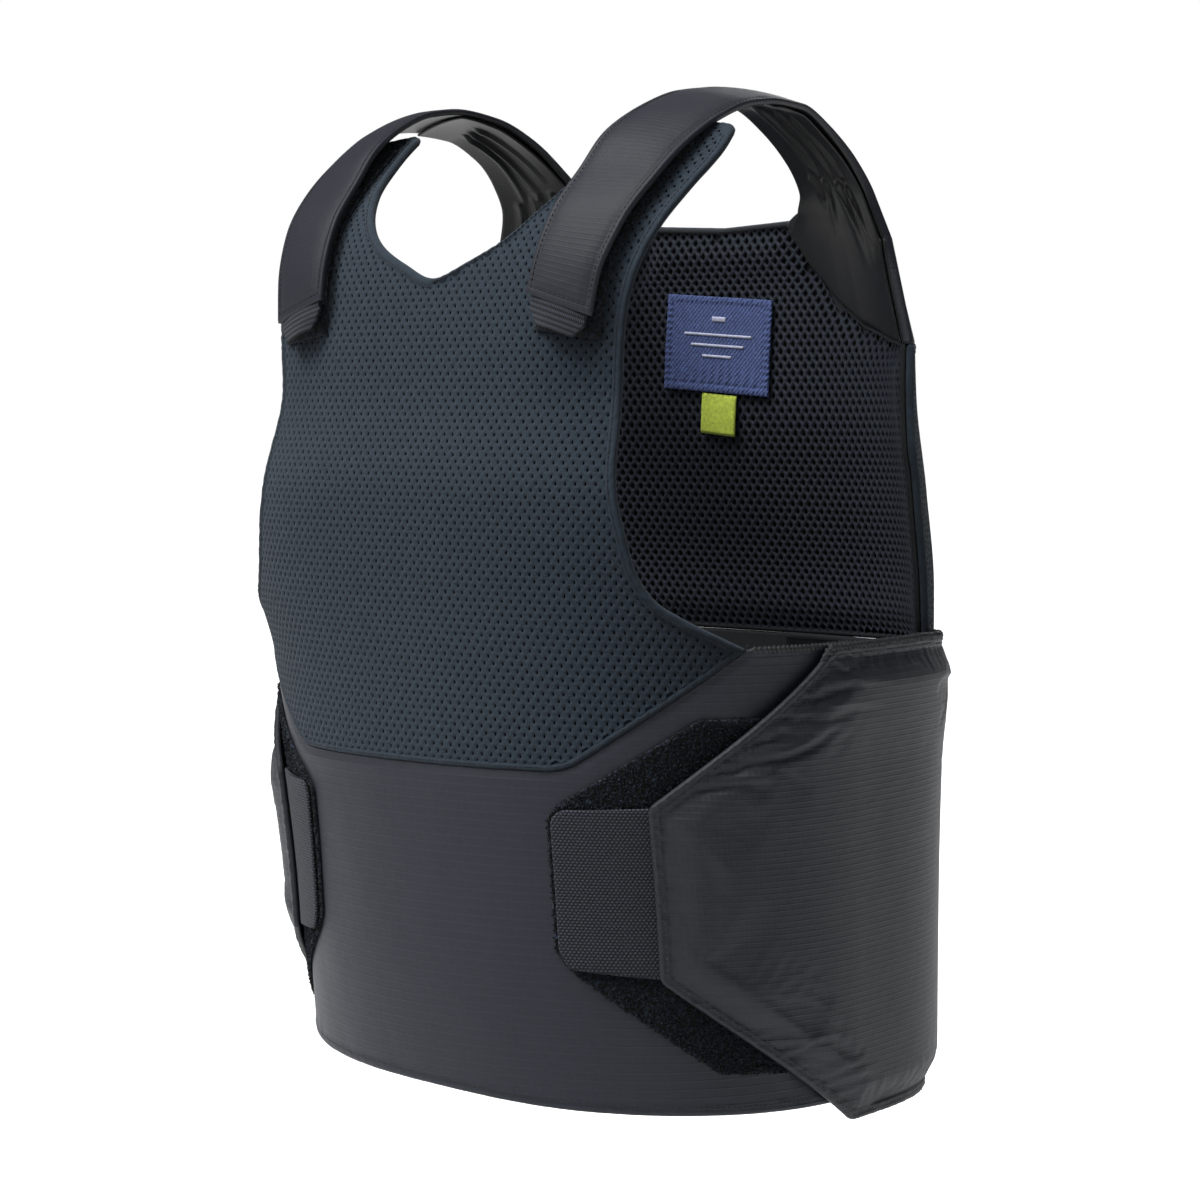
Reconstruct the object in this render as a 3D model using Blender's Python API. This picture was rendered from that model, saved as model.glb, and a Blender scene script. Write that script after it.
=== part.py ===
"""Concealable ballistic vest in its worn shape, in separate pieces. Metres, +Z up, wearer's left +X."""
import bpy
import bmesh
from math import copysign, cos, hypot, pi, radians, sin
from mathutils import Vector

# Cloth and padding
GAP = 0.0003
PANEL_THICK = 0.010
PANEL_EDGE_THICK = 0.0045
PANEL_TAPER = 0.022
RIM_DROP = 0.0016
RIM_WIDTH = 0.006
LINING_THICK = 0.0028
SHOULDER_LINING_THICK = 0.0014
PATCH_THICK = 0.0020
SHOULDER_LOOP_THICK = 0.0024
ELASTIC_THICK = 0.0020
WING_THICK = 0.0100
WING_EDGE_THICK = 0.0034
WING_TAPER = 0.020
STRAP_THICK = 0.0042
STRAP_BACK_THICK = 0.0070
HOOK_THICK = 0.0026
TIP_THICK = 0.0018

# Horizontal sections of the outer face of the worn vest, hem first
SECTION_COLUMNS = ("z", "half_width", "front_depth", "front_power", "back_depth", "back_power", "lean")
SECTIONS = (
    (-0.612, 0.184, 0.160, 2.1, 0.157, 3.0, 0.018),
    (-0.500, 0.188, 0.166, 2.1, 0.163, 3.0, 0.013),
    (-0.400, 0.1965, 0.166, 2.2, 0.168, 3.0, 0.0065),
    (-0.340, 0.207, 0.162, 2.3, 0.175, 3.0, 0.002),
    (-0.300, 0.213, 0.160, 2.5, 0.176, 3.0, -0.003),
    (-0.240, 0.210, 0.159, 2.8, 0.167, 3.0, -0.002),
    (-0.184, 0.204, 0.149, 2.7, 0.158, 3.0, 0.000),
    (-0.147, 0.203, 0.144, 3.0, 0.157, 3.0, 0.000),
    (-0.111, 0.201, 0.137, 3.4, 0.157, 3.0, 0.000),
    (-0.084, 0.200, 0.127, 3.2, 0.154, 3.0, 0.000),
    (-0.057, 0.200, 0.107, 2.7, 0.147, 3.0, 0.000),
    (-0.037, 0.200, 0.084, 2.5, 0.128, 3.0, 0.000),
    (-0.018, 0.200, 0.056, 2.5, 0.108, 3.0, 0.000),
    (-0.004, 0.200, 0.028, 2.5, 0.080, 3.0, 0.000),
)
QUARTER_STEPS = 90
NORMAL_REACH = 0.003

# Front upper panel, seam first: s is the length round the section from the centre front
FRONT_UPPER_COLUMNS = ("inner_s", "inner_z", "outer_s", "outer_z")
FRONT_UPPER = (
    (0.000, -0.3950, 0.2172, -0.3255),
    (0.000, -0.3650, 0.1997, -0.3166),
    (0.000, -0.3350, 0.1829, -0.3077),
    (0.000, -0.3080, 0.1663, -0.2964),
    (0.000, -0.2820, 0.1562, -0.2795),
    (0.000, -0.2560, 0.1510, -0.2600),
    (0.000, -0.2290, 0.1455, -0.2370),
    (0.000, -0.2000, 0.1415, -0.2080),
    (0.000, -0.1710, 0.1395, -0.1780),
    (0.000, -0.1420, 0.1402, -0.1444),
    (0.000, -0.1115, 0.1440, -0.1162),
    (0.026, -0.1020, 0.1478, -0.0992),
    (0.052, -0.0880, 0.1535, -0.0792),
    (0.069, -0.0705, 0.1580, -0.0610),
    (0.079, -0.0540, 0.1610, -0.0480),
    (0.085, -0.0360, 0.1620, -0.0370),
    (0.090, -0.0200, 0.1600, -0.0285),
)
FIRST_NECK_ROW = 10
SEAM_CORNER_S = 0.107
SEAM_Z = -0.395
SEAM_FADE = 2.2
FRONT_COLUMNS = 6
FRONT_WIDTH = 0.20
# Extra rows close to the seam and to the end of the shoulder tab, where the padding rounds over
FIRST_ROW_STEP = 0.35
LAST_ROW_STEP = 0.4

# Front lower panel: hem height round the section, wearer's right first
HEM_COLUMNS = ("s", "z")
HEM = (
    (-0.300, -0.5730),
    (-0.200, -0.5755),
    (-0.106, -0.5790),
    (0.000, -0.5815),
    (0.100, -0.5875),
    (0.200, -0.5910),
    (0.300, -0.5935),
)
FRONT_SIDE_S = 0.300
FRONT_SIDE_ROUND = 0.009
SIDE_TOP_Z = -0.3255
FRONT_LOWER_ROWS = 6
FRONT_LOWER_HEIGHT = 0.20
# Lengths at which the lower front has points, between its seam's corners and out to its side
FRONT_LOWER_S = [0.040, 0.075, SEAM_CORNER_S, 0.125, 0.140, 0.155, 0.170, 0.185, 0.200]
FRONT_SIDE_CUTS = [0.231, 0.245, 0.262, 0.280]

# Back panel: lengths round the section from the centre front; the centre back is half the section
BACK_SEAM_Z = -0.3385
BACK_SEAM_RISE = 0.0115
BACK_ARMHOLE_COLUMNS = ("z", "s")
BACK_ARMHOLE = (
    (-0.3385, 0.3900),
    (-0.3000, 0.3930),
    (-0.2690, 0.3920),
    (-0.2350, 0.3890),
    (-0.2070, 0.3790),
    (-0.1790, 0.3770),
    (-0.1500, 0.3845),
)
# Lengths from the centre back at which the lower back has points, closer where it turns to the side
BACK_LOWER_AWAY = [
    0.0, 0.045, 0.085, 0.110, 0.126, 0.140, 0.154, 0.168, 0.184, 0.204, 0.226, 0.240, 0.248, 0.252,
]
BACK_HEM_Z = -0.600
BACK_NECK_Z = -0.0690
BACK_NECK_INNER_X = 0.030
BACK_ROWS = 6
BACK_HEIGHT = 0.22
BACK_LOWER_ROWS = 5
BACK_LOWER_HEIGHT = 0.27
# How sharply the columns bend out to the armhole, and back in at the shoulder seam
ARMHOLE_POWER = 6
# Seam between back panel and shoulder, centre of the neck first, as x and z
SHOULDER_SEAM_COLUMNS = ("x", "z")
SHOULDER_SEAM = (
    (0.058, -0.0660),
    (0.076, -0.0950),
    (0.104, -0.1225),
    (0.124, -0.1350),
    (0.156, -0.1450),
    (0.190, -0.1500),
)

# Distances from the centre line at which back, strap and lining share points along that seam
SEAM_X = [0.058, 0.067, 0.076, 0.104, 0.124, 0.156, 0.172, 0.184, 0.190]

# Shoulder strap: first the rows that lie on the chest, then those over the shoulder
CHEST_STRAP_COLUMNS = ("neck_s", "neck_z", "arm_s", "arm_z")
CHEST_STRAP = (
    (0.0815, -0.1240, 0.1240, -0.1370),
    (0.0835, -0.1050, 0.1275, -0.1140),
    (0.0860, -0.0800, 0.1350, -0.0840),
    (0.0890, -0.0560, 0.1412, -0.0600),
)
OVER_STRAP_COLUMNS = ("neck_x", "neck_y", "neck_z", "arm_x", "arm_y", "arm_z")
OVER_STRAP = (
    (0.0920, -0.0900, -0.0270, 0.1445, -0.0775, -0.0348),
    (0.0960, -0.0610, -0.0095, 0.1480, -0.0493, -0.0175),
    (0.0990, -0.0300, 0.0015, 0.1500, -0.0210, -0.0072),
    (0.0995, 0.0000, 0.0050, 0.1500, 0.0072, -0.0040),
    (0.0970, 0.0330, 0.0010, 0.1475, 0.0348, -0.0048),
    (0.0950, 0.0660, -0.0110, 0.1462, 0.0642, -0.0157),
    (0.0935, 0.0960, -0.0300, 0.1495, 0.0880, -0.0350),
    (0.0900, 0.1150, -0.0460, 0.1540, 0.1020, -0.0570),
    (0.0800, 0.1290, -0.0590, 0.1630, 0.1070, -0.0840),
)
STRAP_LIFT = 0.0108
STRAP_ROWS_BETWEEN = 2
# The strap grows from its front thickness to its back thickness past this fraction of its length
STRAP_GROWS_FROM = 0.55
STRAP_GROWS_OVER = 0.30
STRAP_RIM_SHARE = 0.35
STRAP_RIM_WIDTH = 0.12
TIP_LENGTH = 0.0150
TIP_INSET = 0.0040
TIP_CORNER = 0.0070
TIP_CLEAR = 0.0003
TIP_DROP = 0.0020
# Fractions of the tip's length at which it has points, and its clipped corner there
TIP_ROWS = ((0.0, 0.0), (0.45, 0.0), (1.0, TIP_CORNER))
STRAP_CROWN = 0.0024
HOOK_ROWS = 7
HOOK_INSET = 0.06
HOOK_GAP = 0.0003
LINING_FIRST_ROW = 14
LINING_CLEAR = 0.0005

# Shoulder loop patch on the chest
SHOULDER_LOOP_COLUMNS = ("neck_s", "neck_z", "arm_s", "arm_z")
SHOULDER_LOOP = (
    (0.0840, -0.1440, 0.1265, -0.1500),
    (0.0860, -0.1150, 0.1290, -0.1200),
    (0.0880, -0.0850, 0.1365, -0.0860),
    (0.0900, -0.0600, 0.1415, -0.0600),
    (0.0925, -0.0400, 0.1430, -0.0435),
    (0.0950, -0.0270, 0.1425, -0.0340),
)
SHOULDER_LOOP_STEPS = (5, 12)

# Side wing: top and bottom heights from its front edge to where it is sewn to the back
WING_COLUMNS = ("s", "top_z", "bottom_z")
WING = (
    (0.1530, -0.4130, -0.5120),
    (0.2730, -0.3262, -0.6040),
    (0.3900, -0.3250, -0.6050),
    (0.4600, -0.3250, -0.6050),
)
# Lengths between those rows at which the wing has points
WING_FRONT_CUTS = [0.157, 0.165, 0.185, 0.205, 0.225, 0.245, 0.260]
WING_SIDE_CUTS = [0.288, 0.308, 0.330, 0.350, 0.368, 0.384, 0.400, 0.416, 0.432, 0.448]
WING_ROWS = 4
WING_HEIGHT = 0.20
# Stand-off of its inner face: over the elastic and the loop patch in front, close to the panel at the back
WING_FRONT_BASE = 0.0053
WING_BACK_BASE = 0.0012
WING_BASE_FROM = 0.19
WING_BASE_OVER = 0.12

ELASTIC_COLUMNS = ("s", "top_z", "bottom_z")
ELASTIC = (
    (0.0975, -0.4210, -0.4960),
    (0.1035, -0.4158, -0.5060),
    (0.1600, -0.4138, -0.5115),
)
ELASTIC_CUTS = [0.115, 0.127, 0.139, 0.150]
# Loop patch under the wing
PATCH_COLUMNS = ("s", "top_z", "bottom_z")
PATCH = (
    (0.0945, -0.4200, -0.4960),
    (0.1040, -0.4120, -0.5080),
    (0.1850, -0.3645, -0.5665),
    (0.2450, -0.3645, -0.5700),
)
PATCH_CUTS = [0.115, 0.125, 0.140, 0.155, 0.170, PATCH[2][0], 0.200, FRONT_UPPER[0][2], 0.231]
SEWN_ROWS = 5

LABEL_WIDTH = 0.088
LABEL_HEIGHT = 0.063
LABEL_TURN = radians(4.0)
LABEL_Z = -0.1470
LABEL_THICK = 0.0012
LABEL_CLEAR = 0.0020
TAG_WIDTH = 0.0285
TAG_HEIGHT = 0.0250
TAG_THICK = 0.0010
TAG_ACROSS = 0.0030
TAG_DOWN = 0.0325
TAG_TURN = radians(5.0)
BAND_TOP_Z = -0.3390
BAND_BOTTOM_Z = -0.5850
BAND_CENTRE_HALF = 0.040
BAND_SIDE_HALF = 0.150
BAND_THICK = 0.0018
BAND_CLEAR = 0.0012
BAND_MIN_CUT = 0.004


def slopes(xs, ys):
    """Gradients at the knots that keep the curve from overshooting its table."""
    steps = [(ys[i + 1] - ys[i]) / (xs[i + 1] - xs[i]) for i in range(len(xs) - 1)]
    inner = []
    for before, after in zip(steps, steps[1:]):
        level = before * after <= 0.0
        inner.append(0.0 if level else 2.0 * before * after / (before + after))
    return [steps[0]] + inner + [steps[-1]]


def smooth(xs, ys, x):
    """Smooth curve through (xs, ys), xs rising, held at both ends."""
    if x <= xs[0]:
        return ys[0]
    if x >= xs[-1]:
        return ys[-1]
    i = max(k for k in range(len(xs) - 1) if xs[k] <= x)
    width = xs[i + 1] - xs[i]
    t = (x - xs[i]) / width
    grade = slopes(xs, ys)
    rise = ys[i + 1] - ys[i]
    first = width * grade[i] - rise
    last = rise - width * grade[i + 1]
    return ys[i] + t * rise + t * (1.0 - t) * ((1.0 - t) * first + t * last)


def straight(xs, ys, x):
    """Straight lines through (xs, ys), held at both ends."""
    if x <= xs[0]:
        return ys[0]
    for i in range(len(xs) - 1):
        if x <= xs[i + 1]:
            t = (x - xs[i]) / (xs[i + 1] - xs[i])
            return ys[i] + t * (ys[i + 1] - ys[i])
    return ys[-1]


def column(table, index):
    return [row[index] for row in table]


def ease(t):
    t = min(max(t, 0.0), 1.0)
    return t * t * (3.0 - 2.0 * t)


SECTION_HEIGHTS = column(SECTIONS, 0)
LOOPS = {}


def section_loop(z):
    """Points and running length of one half of the section at height z, centre front to centre back."""
    key = round(z, 5)
    if key not in LOOPS:
        half, front, front_power, back, back_power, lean = (
            smooth(SECTION_HEIGHTS, column(SECTIONS, k), z) for k in range(1, 7)
        )
        points = []
        for step in range(2 * QUARTER_STEPS + 1):
            angle = pi * step / (2 * QUARTER_STEPS)
            ahead = step <= QUARTER_STEPS
            power = 2.0 / (front_power if ahead else back_power)
            depth = -front if ahead else back
            points.append((half * abs(sin(angle)) ** power, depth * abs(cos(angle)) ** power))
        lengths = [0.0]
        for a, b in zip(points, points[1:]):
            lengths.append(lengths[-1] + hypot(b[0] - a[0], b[1] - a[1]))
        LOOPS[key] = (lengths, points, lean)
    return LOOPS[key]


def half_girth(z):
    return section_loop(z)[0][-1]


def on_section(s, z):
    """Point at length s round the section, positive to the wearer's left and past the centre back."""
    lengths, points, lean = section_loop(z)
    side = copysign(1.0, s)
    run = abs(s)
    if run > lengths[-1]:
        run = 2.0 * lengths[-1] - run
        side = -side
    low, high = 0, len(lengths) - 1
    while high - low > 1:
        mid = (low + high) // 2
        if lengths[mid] <= run:
            low = mid
        else:
            high = mid
    t = (run - lengths[low]) / (lengths[high] - lengths[low])
    x = points[low][0] + t * (points[high][0] - points[low][0])
    y = points[low][1] + t * (points[high][1] - points[low][1])
    return Vector((lean + side * x, y, z))


def wall(s, z, out=0.0):
    """Point on the outer face of the worn shape, moved outwards by out."""
    here = on_section(s, z)
    along = on_section(s + NORMAL_REACH, z) - on_section(s - NORMAL_REACH, z)
    rise = on_section(s, z + NORMAL_REACH) - on_section(s, z - NORMAL_REACH)
    return here + along.cross(rise).normalized() * out


def length_at_x(x, z):
    """Length round the section at which the back half reaches x."""
    low = 0.5 * half_girth(z)
    high = half_girth(z)
    for _ in range(30):
        mid = 0.5 * (low + high)
        if on_section(mid, z).x > x:
            low = mid
        else:
            high = mid
    return 0.5 * (low + high)


def steps(count, length, first=0.0035, second=0.011):
    """Fractions from 0 to 1 that crowd at both ends, where the padding rounds over."""
    inner = [second + (length - 2.0 * second) * i / (count - 1) for i in range(count)]
    return [v / length for v in [0.0, first] + inner + [length - first, length]]


def even(count):
    return [i / count for i in range(count + 1)]


def grid(columns, rows):
    """Quads of a grid with that many vertices each way, rows running first."""
    return [
        (r * columns + c, r * columns + c + 1, (r + 1) * columns + c + 1, (r + 1) * columns + c)
        for r in range(rows - 1)
        for c in range(columns - 1)
    ]


def edge_distances(points, free):
    """Distance from each point to the nearest free edge point."""
    rim = [points[i] for i in free]
    return [min((p - q).length for q in rim) if rim else 1.0 for p in points]


def material(name, colour, roughness):
    made = bpy.data.materials.new(name)
    made.use_nodes = True
    shader = made.node_tree.nodes["Principled BSDF"]
    shader.inputs["Base Color"].default_value = (*colour, 1.0)
    shader.inputs["Roughness"].default_value = roughness
    shader.inputs["Metallic"].default_value = 0.0
    return made


def closed_solid(name, outer, inner, quads, finish):
    """One closed body from two matching sheets, its rim filled in along every open edge."""
    mesh = bpy.data.meshes.new(name)
    body = bmesh.new()
    top = [body.verts.new(p) for p in outer]
    under = [body.verts.new(p) for p in inner]
    open_edges = {}
    for quad in quads:
        ring = []
        for i in quad:
            if i not in ring:
                ring.append(i)
        for three in [ring] if len(ring) == 3 else [ring[:3], [ring[0], ring[2], ring[3]]]:
            body.faces.new([top[i] for i in three])
            body.faces.new([under[i] for i in reversed(three)])
        for a, b in zip(ring, ring[1:] + ring[:1]):
            if (b, a) in open_edges:
                del open_edges[(b, a)]
            else:
                open_edges[(a, b)] = True
    for a, b in open_edges:
        body.faces.new((top[b], top[a], under[a], under[b]))
    loose = [v for v in body.verts if not v.link_faces]
    bmesh.ops.delete(body, geom=loose, context="VERTS")
    bmesh.ops.recalc_face_normals(body, faces=body.faces)
    body.to_mesh(mesh)
    body.free()
    made = bpy.data.objects.new(name, mesh)
    bpy.context.scene.collection.objects.link(made)
    mesh.materials.append(finish)
    mesh.shade_smooth()
    mesh.set_sharp_from_angle(angle=radians(50))
    return made


def padded(name, places, quads, free, finish, thick, edge_thick, taper, base=0.0):
    """Padded panel lying on the worn shape: places are (s, z), free lists the points of its loose edges."""
    skin = [wall(s, z) for s, z in places]
    far = edge_distances(skin, free)
    outer = []
    inner = []
    for (s, z), d in zip(places, far):
        drop = RIM_DROP * (1.0 - ease(d / RIM_WIDTH))
        depth = edge_thick + (thick - edge_thick) * ease(d / taper)
        outer.append(wall(s, z, base - drop))
        inner.append(wall(s, z, base - depth))
    return closed_solid(name, outer, inner, quads, finish)


def front_upper_place(u, row):
    """Place on the front upper panel: u across from centre or neck to armhole, row along its table."""
    rows = [float(i) for i in range(len(FRONT_UPPER))]
    inner_s, inner_z = (straight(rows, column(FRONT_UPPER, k), row) for k in (0, 1))
    outer_s, outer_z = (smooth(rows, column(FRONT_UPPER, k), row) for k in (2, 3))
    s = inner_s + u * (outer_s - inner_s)
    z = inner_z + u * (outer_z - inner_z)
    low_s = FRONT_UPPER[0][2]
    low_z = FRONT_UPPER[0][3]
    corner = SEAM_CORNER_S / low_s
    bend = min(u / corner, (1.0 - u) / (1.0 - corner))
    dip = (low_z - SEAM_Z) * corner
    fade = max(0.0, 1.0 - row / FIRST_NECK_ROW) ** SEAM_FADE
    return s, z - bend * dip * fade


def seam_height(s):
    """Height of the seam between mesh and ripstop on the front."""
    run = abs(s)
    return straight((0.0, SEAM_CORNER_S, FRONT_UPPER[0][2]), (SEAM_Z, SEAM_Z, SIDE_TOP_Z), run)


def front_mesh_panel(finish):
    across = steps(FRONT_COLUMNS, FRONT_WIDTH)
    corner = SEAM_CORNER_S / FRONT_UPPER[0][2]
    nearest = min(range(len(across)), key=lambda i: abs(across[i] - corner))
    across[nearest] = corner
    last = len(FRONT_UPPER) - 1
    rows = [0.0, FIRST_ROW_STEP] + [float(i) for i in range(1, last)] + [last - LAST_ROW_STEP, float(last)]
    places = []
    number = {}
    for side in (1, -1):
        for r, row in enumerate(rows):
            for c, u in enumerate(across):
                centre = c == 0 and row <= FIRST_NECK_ROW
                key = (r, c, 1 if centre else side)
                if key in number:
                    continue
                s, z = front_upper_place(u, row)
                if r == 0:
                    z += 2.0 * GAP
                number[key] = len(places)
                places.append((side * s, z))
    quads = []
    free = []
    for side in (1, -1):
        def at(r, c):
            centre = c == 0 and rows[r] <= FIRST_NECK_ROW
            return number[(r, c, 1 if centre else side)]

        for r in range(len(rows) - 1):
            for c in range(len(across) - 1):
                quad = (at(r, c), at(r, c + 1), at(r + 1, c + 1), at(r + 1, c))
                quads.append(quad if side == 1 else quad[::-1])
        free += [at(r, len(across) - 1) for r in range(len(rows))]
        free += [at(r, 0) for r in range(len(rows)) if rows[r] >= FIRST_NECK_ROW]
        free += [at(len(rows) - 1, c) for c in range(len(across))]
    return padded("front_mesh_panel", places, quads, free, finish, PANEL_THICK, PANEL_EDGE_THICK, PANEL_TAPER)


def front_lower_panel(finish):
    half = [0.0] + FRONT_LOWER_S + [FRONT_UPPER[0][2]] + FRONT_SIDE_CUTS
    half += [FRONT_SIDE_S - FRONT_SIDE_ROUND, FRONT_SIDE_S]
    across = [-s for s in half[:0:-1]] + half
    up = steps(FRONT_LOWER_ROWS, FRONT_LOWER_HEIGHT)
    places = []
    for v in up:
        for s in across:
            low = smooth(column(HEM, 0), column(HEM, 1), s)
            high = seam_height(s) - GAP
            places.append((s, low + v * (high - low)))
    count = len(across)
    free = list(range(count))
    free += [r * count for r in range(len(up))] + [r * count + count - 1 for r in range(len(up))]
    top = (len(up) - 1) * count
    free += [top + c for c, s in enumerate(across) if abs(s) >= FRONT_UPPER[0][2]]
    quads = grid(count, len(up))
    thicks = (PANEL_THICK, PANEL_EDGE_THICK, PANEL_TAPER)
    return padded("front_lower_panel", places, quads, free, finish, *thicks)


def back_top(x):
    """Height of the upper edge of the back panel, at distance x from its centre line."""
    xs = [0.0] + column(SHOULDER_SEAM, 0)
    zs = [BACK_NECK_Z] + column(SHOULDER_SEAM, 1)
    return straight(xs, zs, x)


def back_seam(u):
    """Height of the seam between mesh and ripstop on the back, at u from -1 to 1 across."""
    return BACK_SEAM_Z + BACK_SEAM_RISE * u ** 4


def back_places(across, up):
    """Grid of places on the back from one armhole to the other, up to the shoulder seams."""
    places = []
    heights = column(BACK_ARMHOLE, 0)
    edge = column(BACK_ARMHOLE, 1)
    for v in up:
        for u in across:
            top_s, top_z = shoulder_edge(u)
            bottom = back_seam(u) + GAP
            low_s = bottom_length(u, bottom)
            z = bottom + v * (top_z - bottom)
            side = smooth(heights, edge, z)
            reach = half_girth(z) - side
            drift = (half_girth(top_z) - top_s) * v + (half_girth(bottom) - low_s) * (1.0 - v)
            away = drift + (reach - drift) * abs(u) ** ARMHOLE_POWER * (1.0 - v ** ARMHOLE_POWER)
            places.append((half_girth(z) - away if u <= 0 else half_girth(z) + away, z))
    return places


def shoulder_edge(u):
    """Length and height of the back's upper edge at u, from -1 at the wearer's left to 1."""
    x = abs(u) * SHOULDER_SEAM[-1][0]
    z = back_top(x)
    return length_at_x(x, z), z


def bottom_length(u, z):
    """Length round the section at the back's lower seam, for u across."""
    return half_girth(z) - abs(u) * (half_girth(z) - BACK_ARMHOLE[0][1])


def back_grid():
    """Places, quads and loose edge points that the back panel and its lining share."""
    half = [x / SEAM_X[-1] for x in [0.0, BACK_NECK_INNER_X] + SEAM_X]
    across = [-u for u in half[:0:-1]] + half
    up = steps(BACK_ROWS, BACK_HEIGHT)
    places = back_places(across, up)
    count = len(across)
    free = [r * count for r in range(len(up))] + [r * count + count - 1 for r in range(len(up))]
    top = (len(up) - 1) * count
    free += [top + c for c, u in enumerate(across) if abs(u) <= half[2]]
    return places, grid(count, len(up)), free


def back_mesh_panel(finish):
    places, quads, free = back_grid()
    return padded("back_mesh_panel", places, quads, free, finish, PANEL_THICK, PANEL_EDGE_THICK, PANEL_TAPER)


def back_lower_panel(finish):
    half = BACK_LOWER_AWAY
    across = [-u for u in half[:0:-1]] + half
    up = steps(BACK_LOWER_ROWS, BACK_LOWER_HEIGHT)
    places = []
    for v in up:
        for u in across:
            reach = u / half[-1]
            z = BACK_HEM_Z + v * (back_seam(reach) - GAP - BACK_HEM_Z)
            places.append((half_girth(z) + u, z))
    count = len(across)
    free = list(range(count))
    free += [r * count for r in range(len(up))] + [r * count + count - 1 for r in range(len(up))]
    quads = grid(count, len(up))
    return padded("back_lower_panel", places, quads, free, finish, PANEL_THICK, PANEL_EDGE_THICK, PANEL_TAPER)


def back_lining(finish):
    """Spacer mesh against the inner face of the back panel."""
    places, quads, free = back_grid()
    skin = [wall(s, z) for s, z in places]
    outer = []
    inner = []
    for (s, z), d in zip(places, edge_distances(skin, free)):
        depth = PANEL_EDGE_THICK + (PANEL_THICK - PANEL_EDGE_THICK) * ease(d / PANEL_TAPER) + 2.0 * GAP
        outer.append(wall(s, z, -depth))
        inner.append(wall(s, z, -depth - LINING_THICK))
    return closed_solid("back_lining", outer, inner, quads, finish)


def strap_rows(side, across):
    """Points of the strap's outer face, front end first, on smooth lines along the strap."""
    knots = []
    for neck_s, neck_z, arm_s, arm_z in CHEST_STRAP:
        row = []
        for u in across:
            p = wall(neck_s + u * (arm_s - neck_s), neck_z + u * (arm_z - neck_z), STRAP_LIFT)
            row.append(Vector((side * p.x, p.y, p.z)))
        knots.append(row)
    ends = [(Vector(row[:3]), Vector(row[3:])) for row in OVER_STRAP]
    for i, (neck, arm) in enumerate(ends):
        ahead = ends[min(i + 1, len(ends) - 1)][0] - ends[max(i - 1, 0)][0]
        rise = (arm - neck).cross(ahead).normalized()
        row = []
        for u in across:
            p = neck.lerp(arm, u) + rise * (STRAP_CROWN * 4.0 * u * (1.0 - u))
            row.append(Vector((side * p.x, p.y, p.z)))
        knots.append(row)
    numbers = [float(i) for i in range(len(knots))]
    rows = []
    for step in range((len(knots) - 1) * STRAP_ROWS_BETWEEN + 1):
        t = step / STRAP_ROWS_BETWEEN
        row = []
        for c in range(len(across)):
            row.append(Vector([smooth(numbers, [k[c][axis] for k in knots], t) for axis in range(3)]))
        rows.append(row)
    return rows


def faces_of(rows, side, low, high):
    """Outer and inner points of a strip, low and high below its outer face."""
    total = len(rows)
    count = len(rows[0])
    outer = []
    inner = []
    for r in range(total):
        for c in range(count):
            ahead = rows[min(r + 1, total - 1)][c] - rows[max(r - 1, 0)][c]
            over = rows[r][min(c + 1, count - 1)] - rows[r][max(c - 1, 0)]
            normal = over.cross(ahead).normalized() * side
            outer.append(rows[r][c] - normal * low(r / (total - 1), c))
            inner.append(rows[r][c] - normal * high(r / (total - 1), c))
    return outer, inner


def seam_place(x):
    """Place on the worn shape just above the shoulder seam at x."""
    z = back_top(x) + 2.0 * GAP
    return length_at_x(x, z), z


def seam_row(side, across, out):
    """Points along the shoulder seam at a depth from the worn shape."""
    row = []
    for u in across:
        s, z = seam_place(SEAM_X[0] + u * (SEAM_X[-1] - SEAM_X[0]))
        p = wall(s, z, out)
        row.append(Vector((side * p.x, p.y, p.z)))
    return row


def down_to_seam(rows, side, across):
    """The strap's rows with three more that lead to the shoulder seam."""
    last = seam_row(side, across, 0.0)
    before = rows[-1]
    more = [[before[c].lerp(last[c], step / 3.0) for c in range(len(across))] for step in (1, 2, 3)]
    return rows + more


def shoulder_strap(name, side, finish):
    """Strap that widens behind the shoulder down to the back seam."""
    across = [(x - SEAM_X[0]) / (SEAM_X[-1] - SEAM_X[0]) for x in SEAM_X]
    rows = down_to_seam(strap_rows(side, across), side, across)

    def full(v):
        grown = ease((v - STRAP_GROWS_FROM) / STRAP_GROWS_OVER)
        return STRAP_THICK + (STRAP_BACK_THICK - STRAP_THICK) * grown

    def rim(c):
        return STRAP_RIM_SHARE * (1.0 - ease(min(across[c], 1.0 - across[c]) / STRAP_RIM_WIDTH))

    def low(v, c):
        return full(v) * rim(c) * 0.5

    def high(v, c):
        return full(v) * (1.0 - rim(c) * 0.5)

    outer, inner = faces_of(rows, side, low, high)
    count = len(across)
    outer[-count:] = seam_row(side, across, 0.0)
    inner[-count:] = seam_row(side, across, -STRAP_BACK_THICK)
    return closed_solid(name, outer, inner, grid(count, len(rows)), finish)


def laid(name, side, table, across, up, finish, low, high):
    """Flat strip laid on the worn shape: table rows give neck and arm edges, low and high its two faces."""
    knots = [float(i) for i in range(len(table))]
    outer = []
    inner = []
    for v in up:
        row = v * (len(table) - 1)
        neck_s, neck_z, arm_s, arm_z = (smooth(knots, column(table, k), row) for k in range(4))
        for u in across:
            s = side * (neck_s + u * (arm_s - neck_s))
            z = neck_z + u * (arm_z - neck_z)
            outer.append(wall(s, z, high))
            inner.append(wall(s, z, low))
    return closed_solid(name, outer, inner, grid(len(across), len(up)), finish)


def shoulder_loop(name, side, finish):
    """Loop strip sewn on the front shoulder."""
    across, up = (even(n) for n in SHOULDER_LOOP_STEPS)
    return laid(name, side, SHOULDER_LOOP, across, up, finish, GAP, GAP + SHOULDER_LOOP_THICK)


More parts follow.
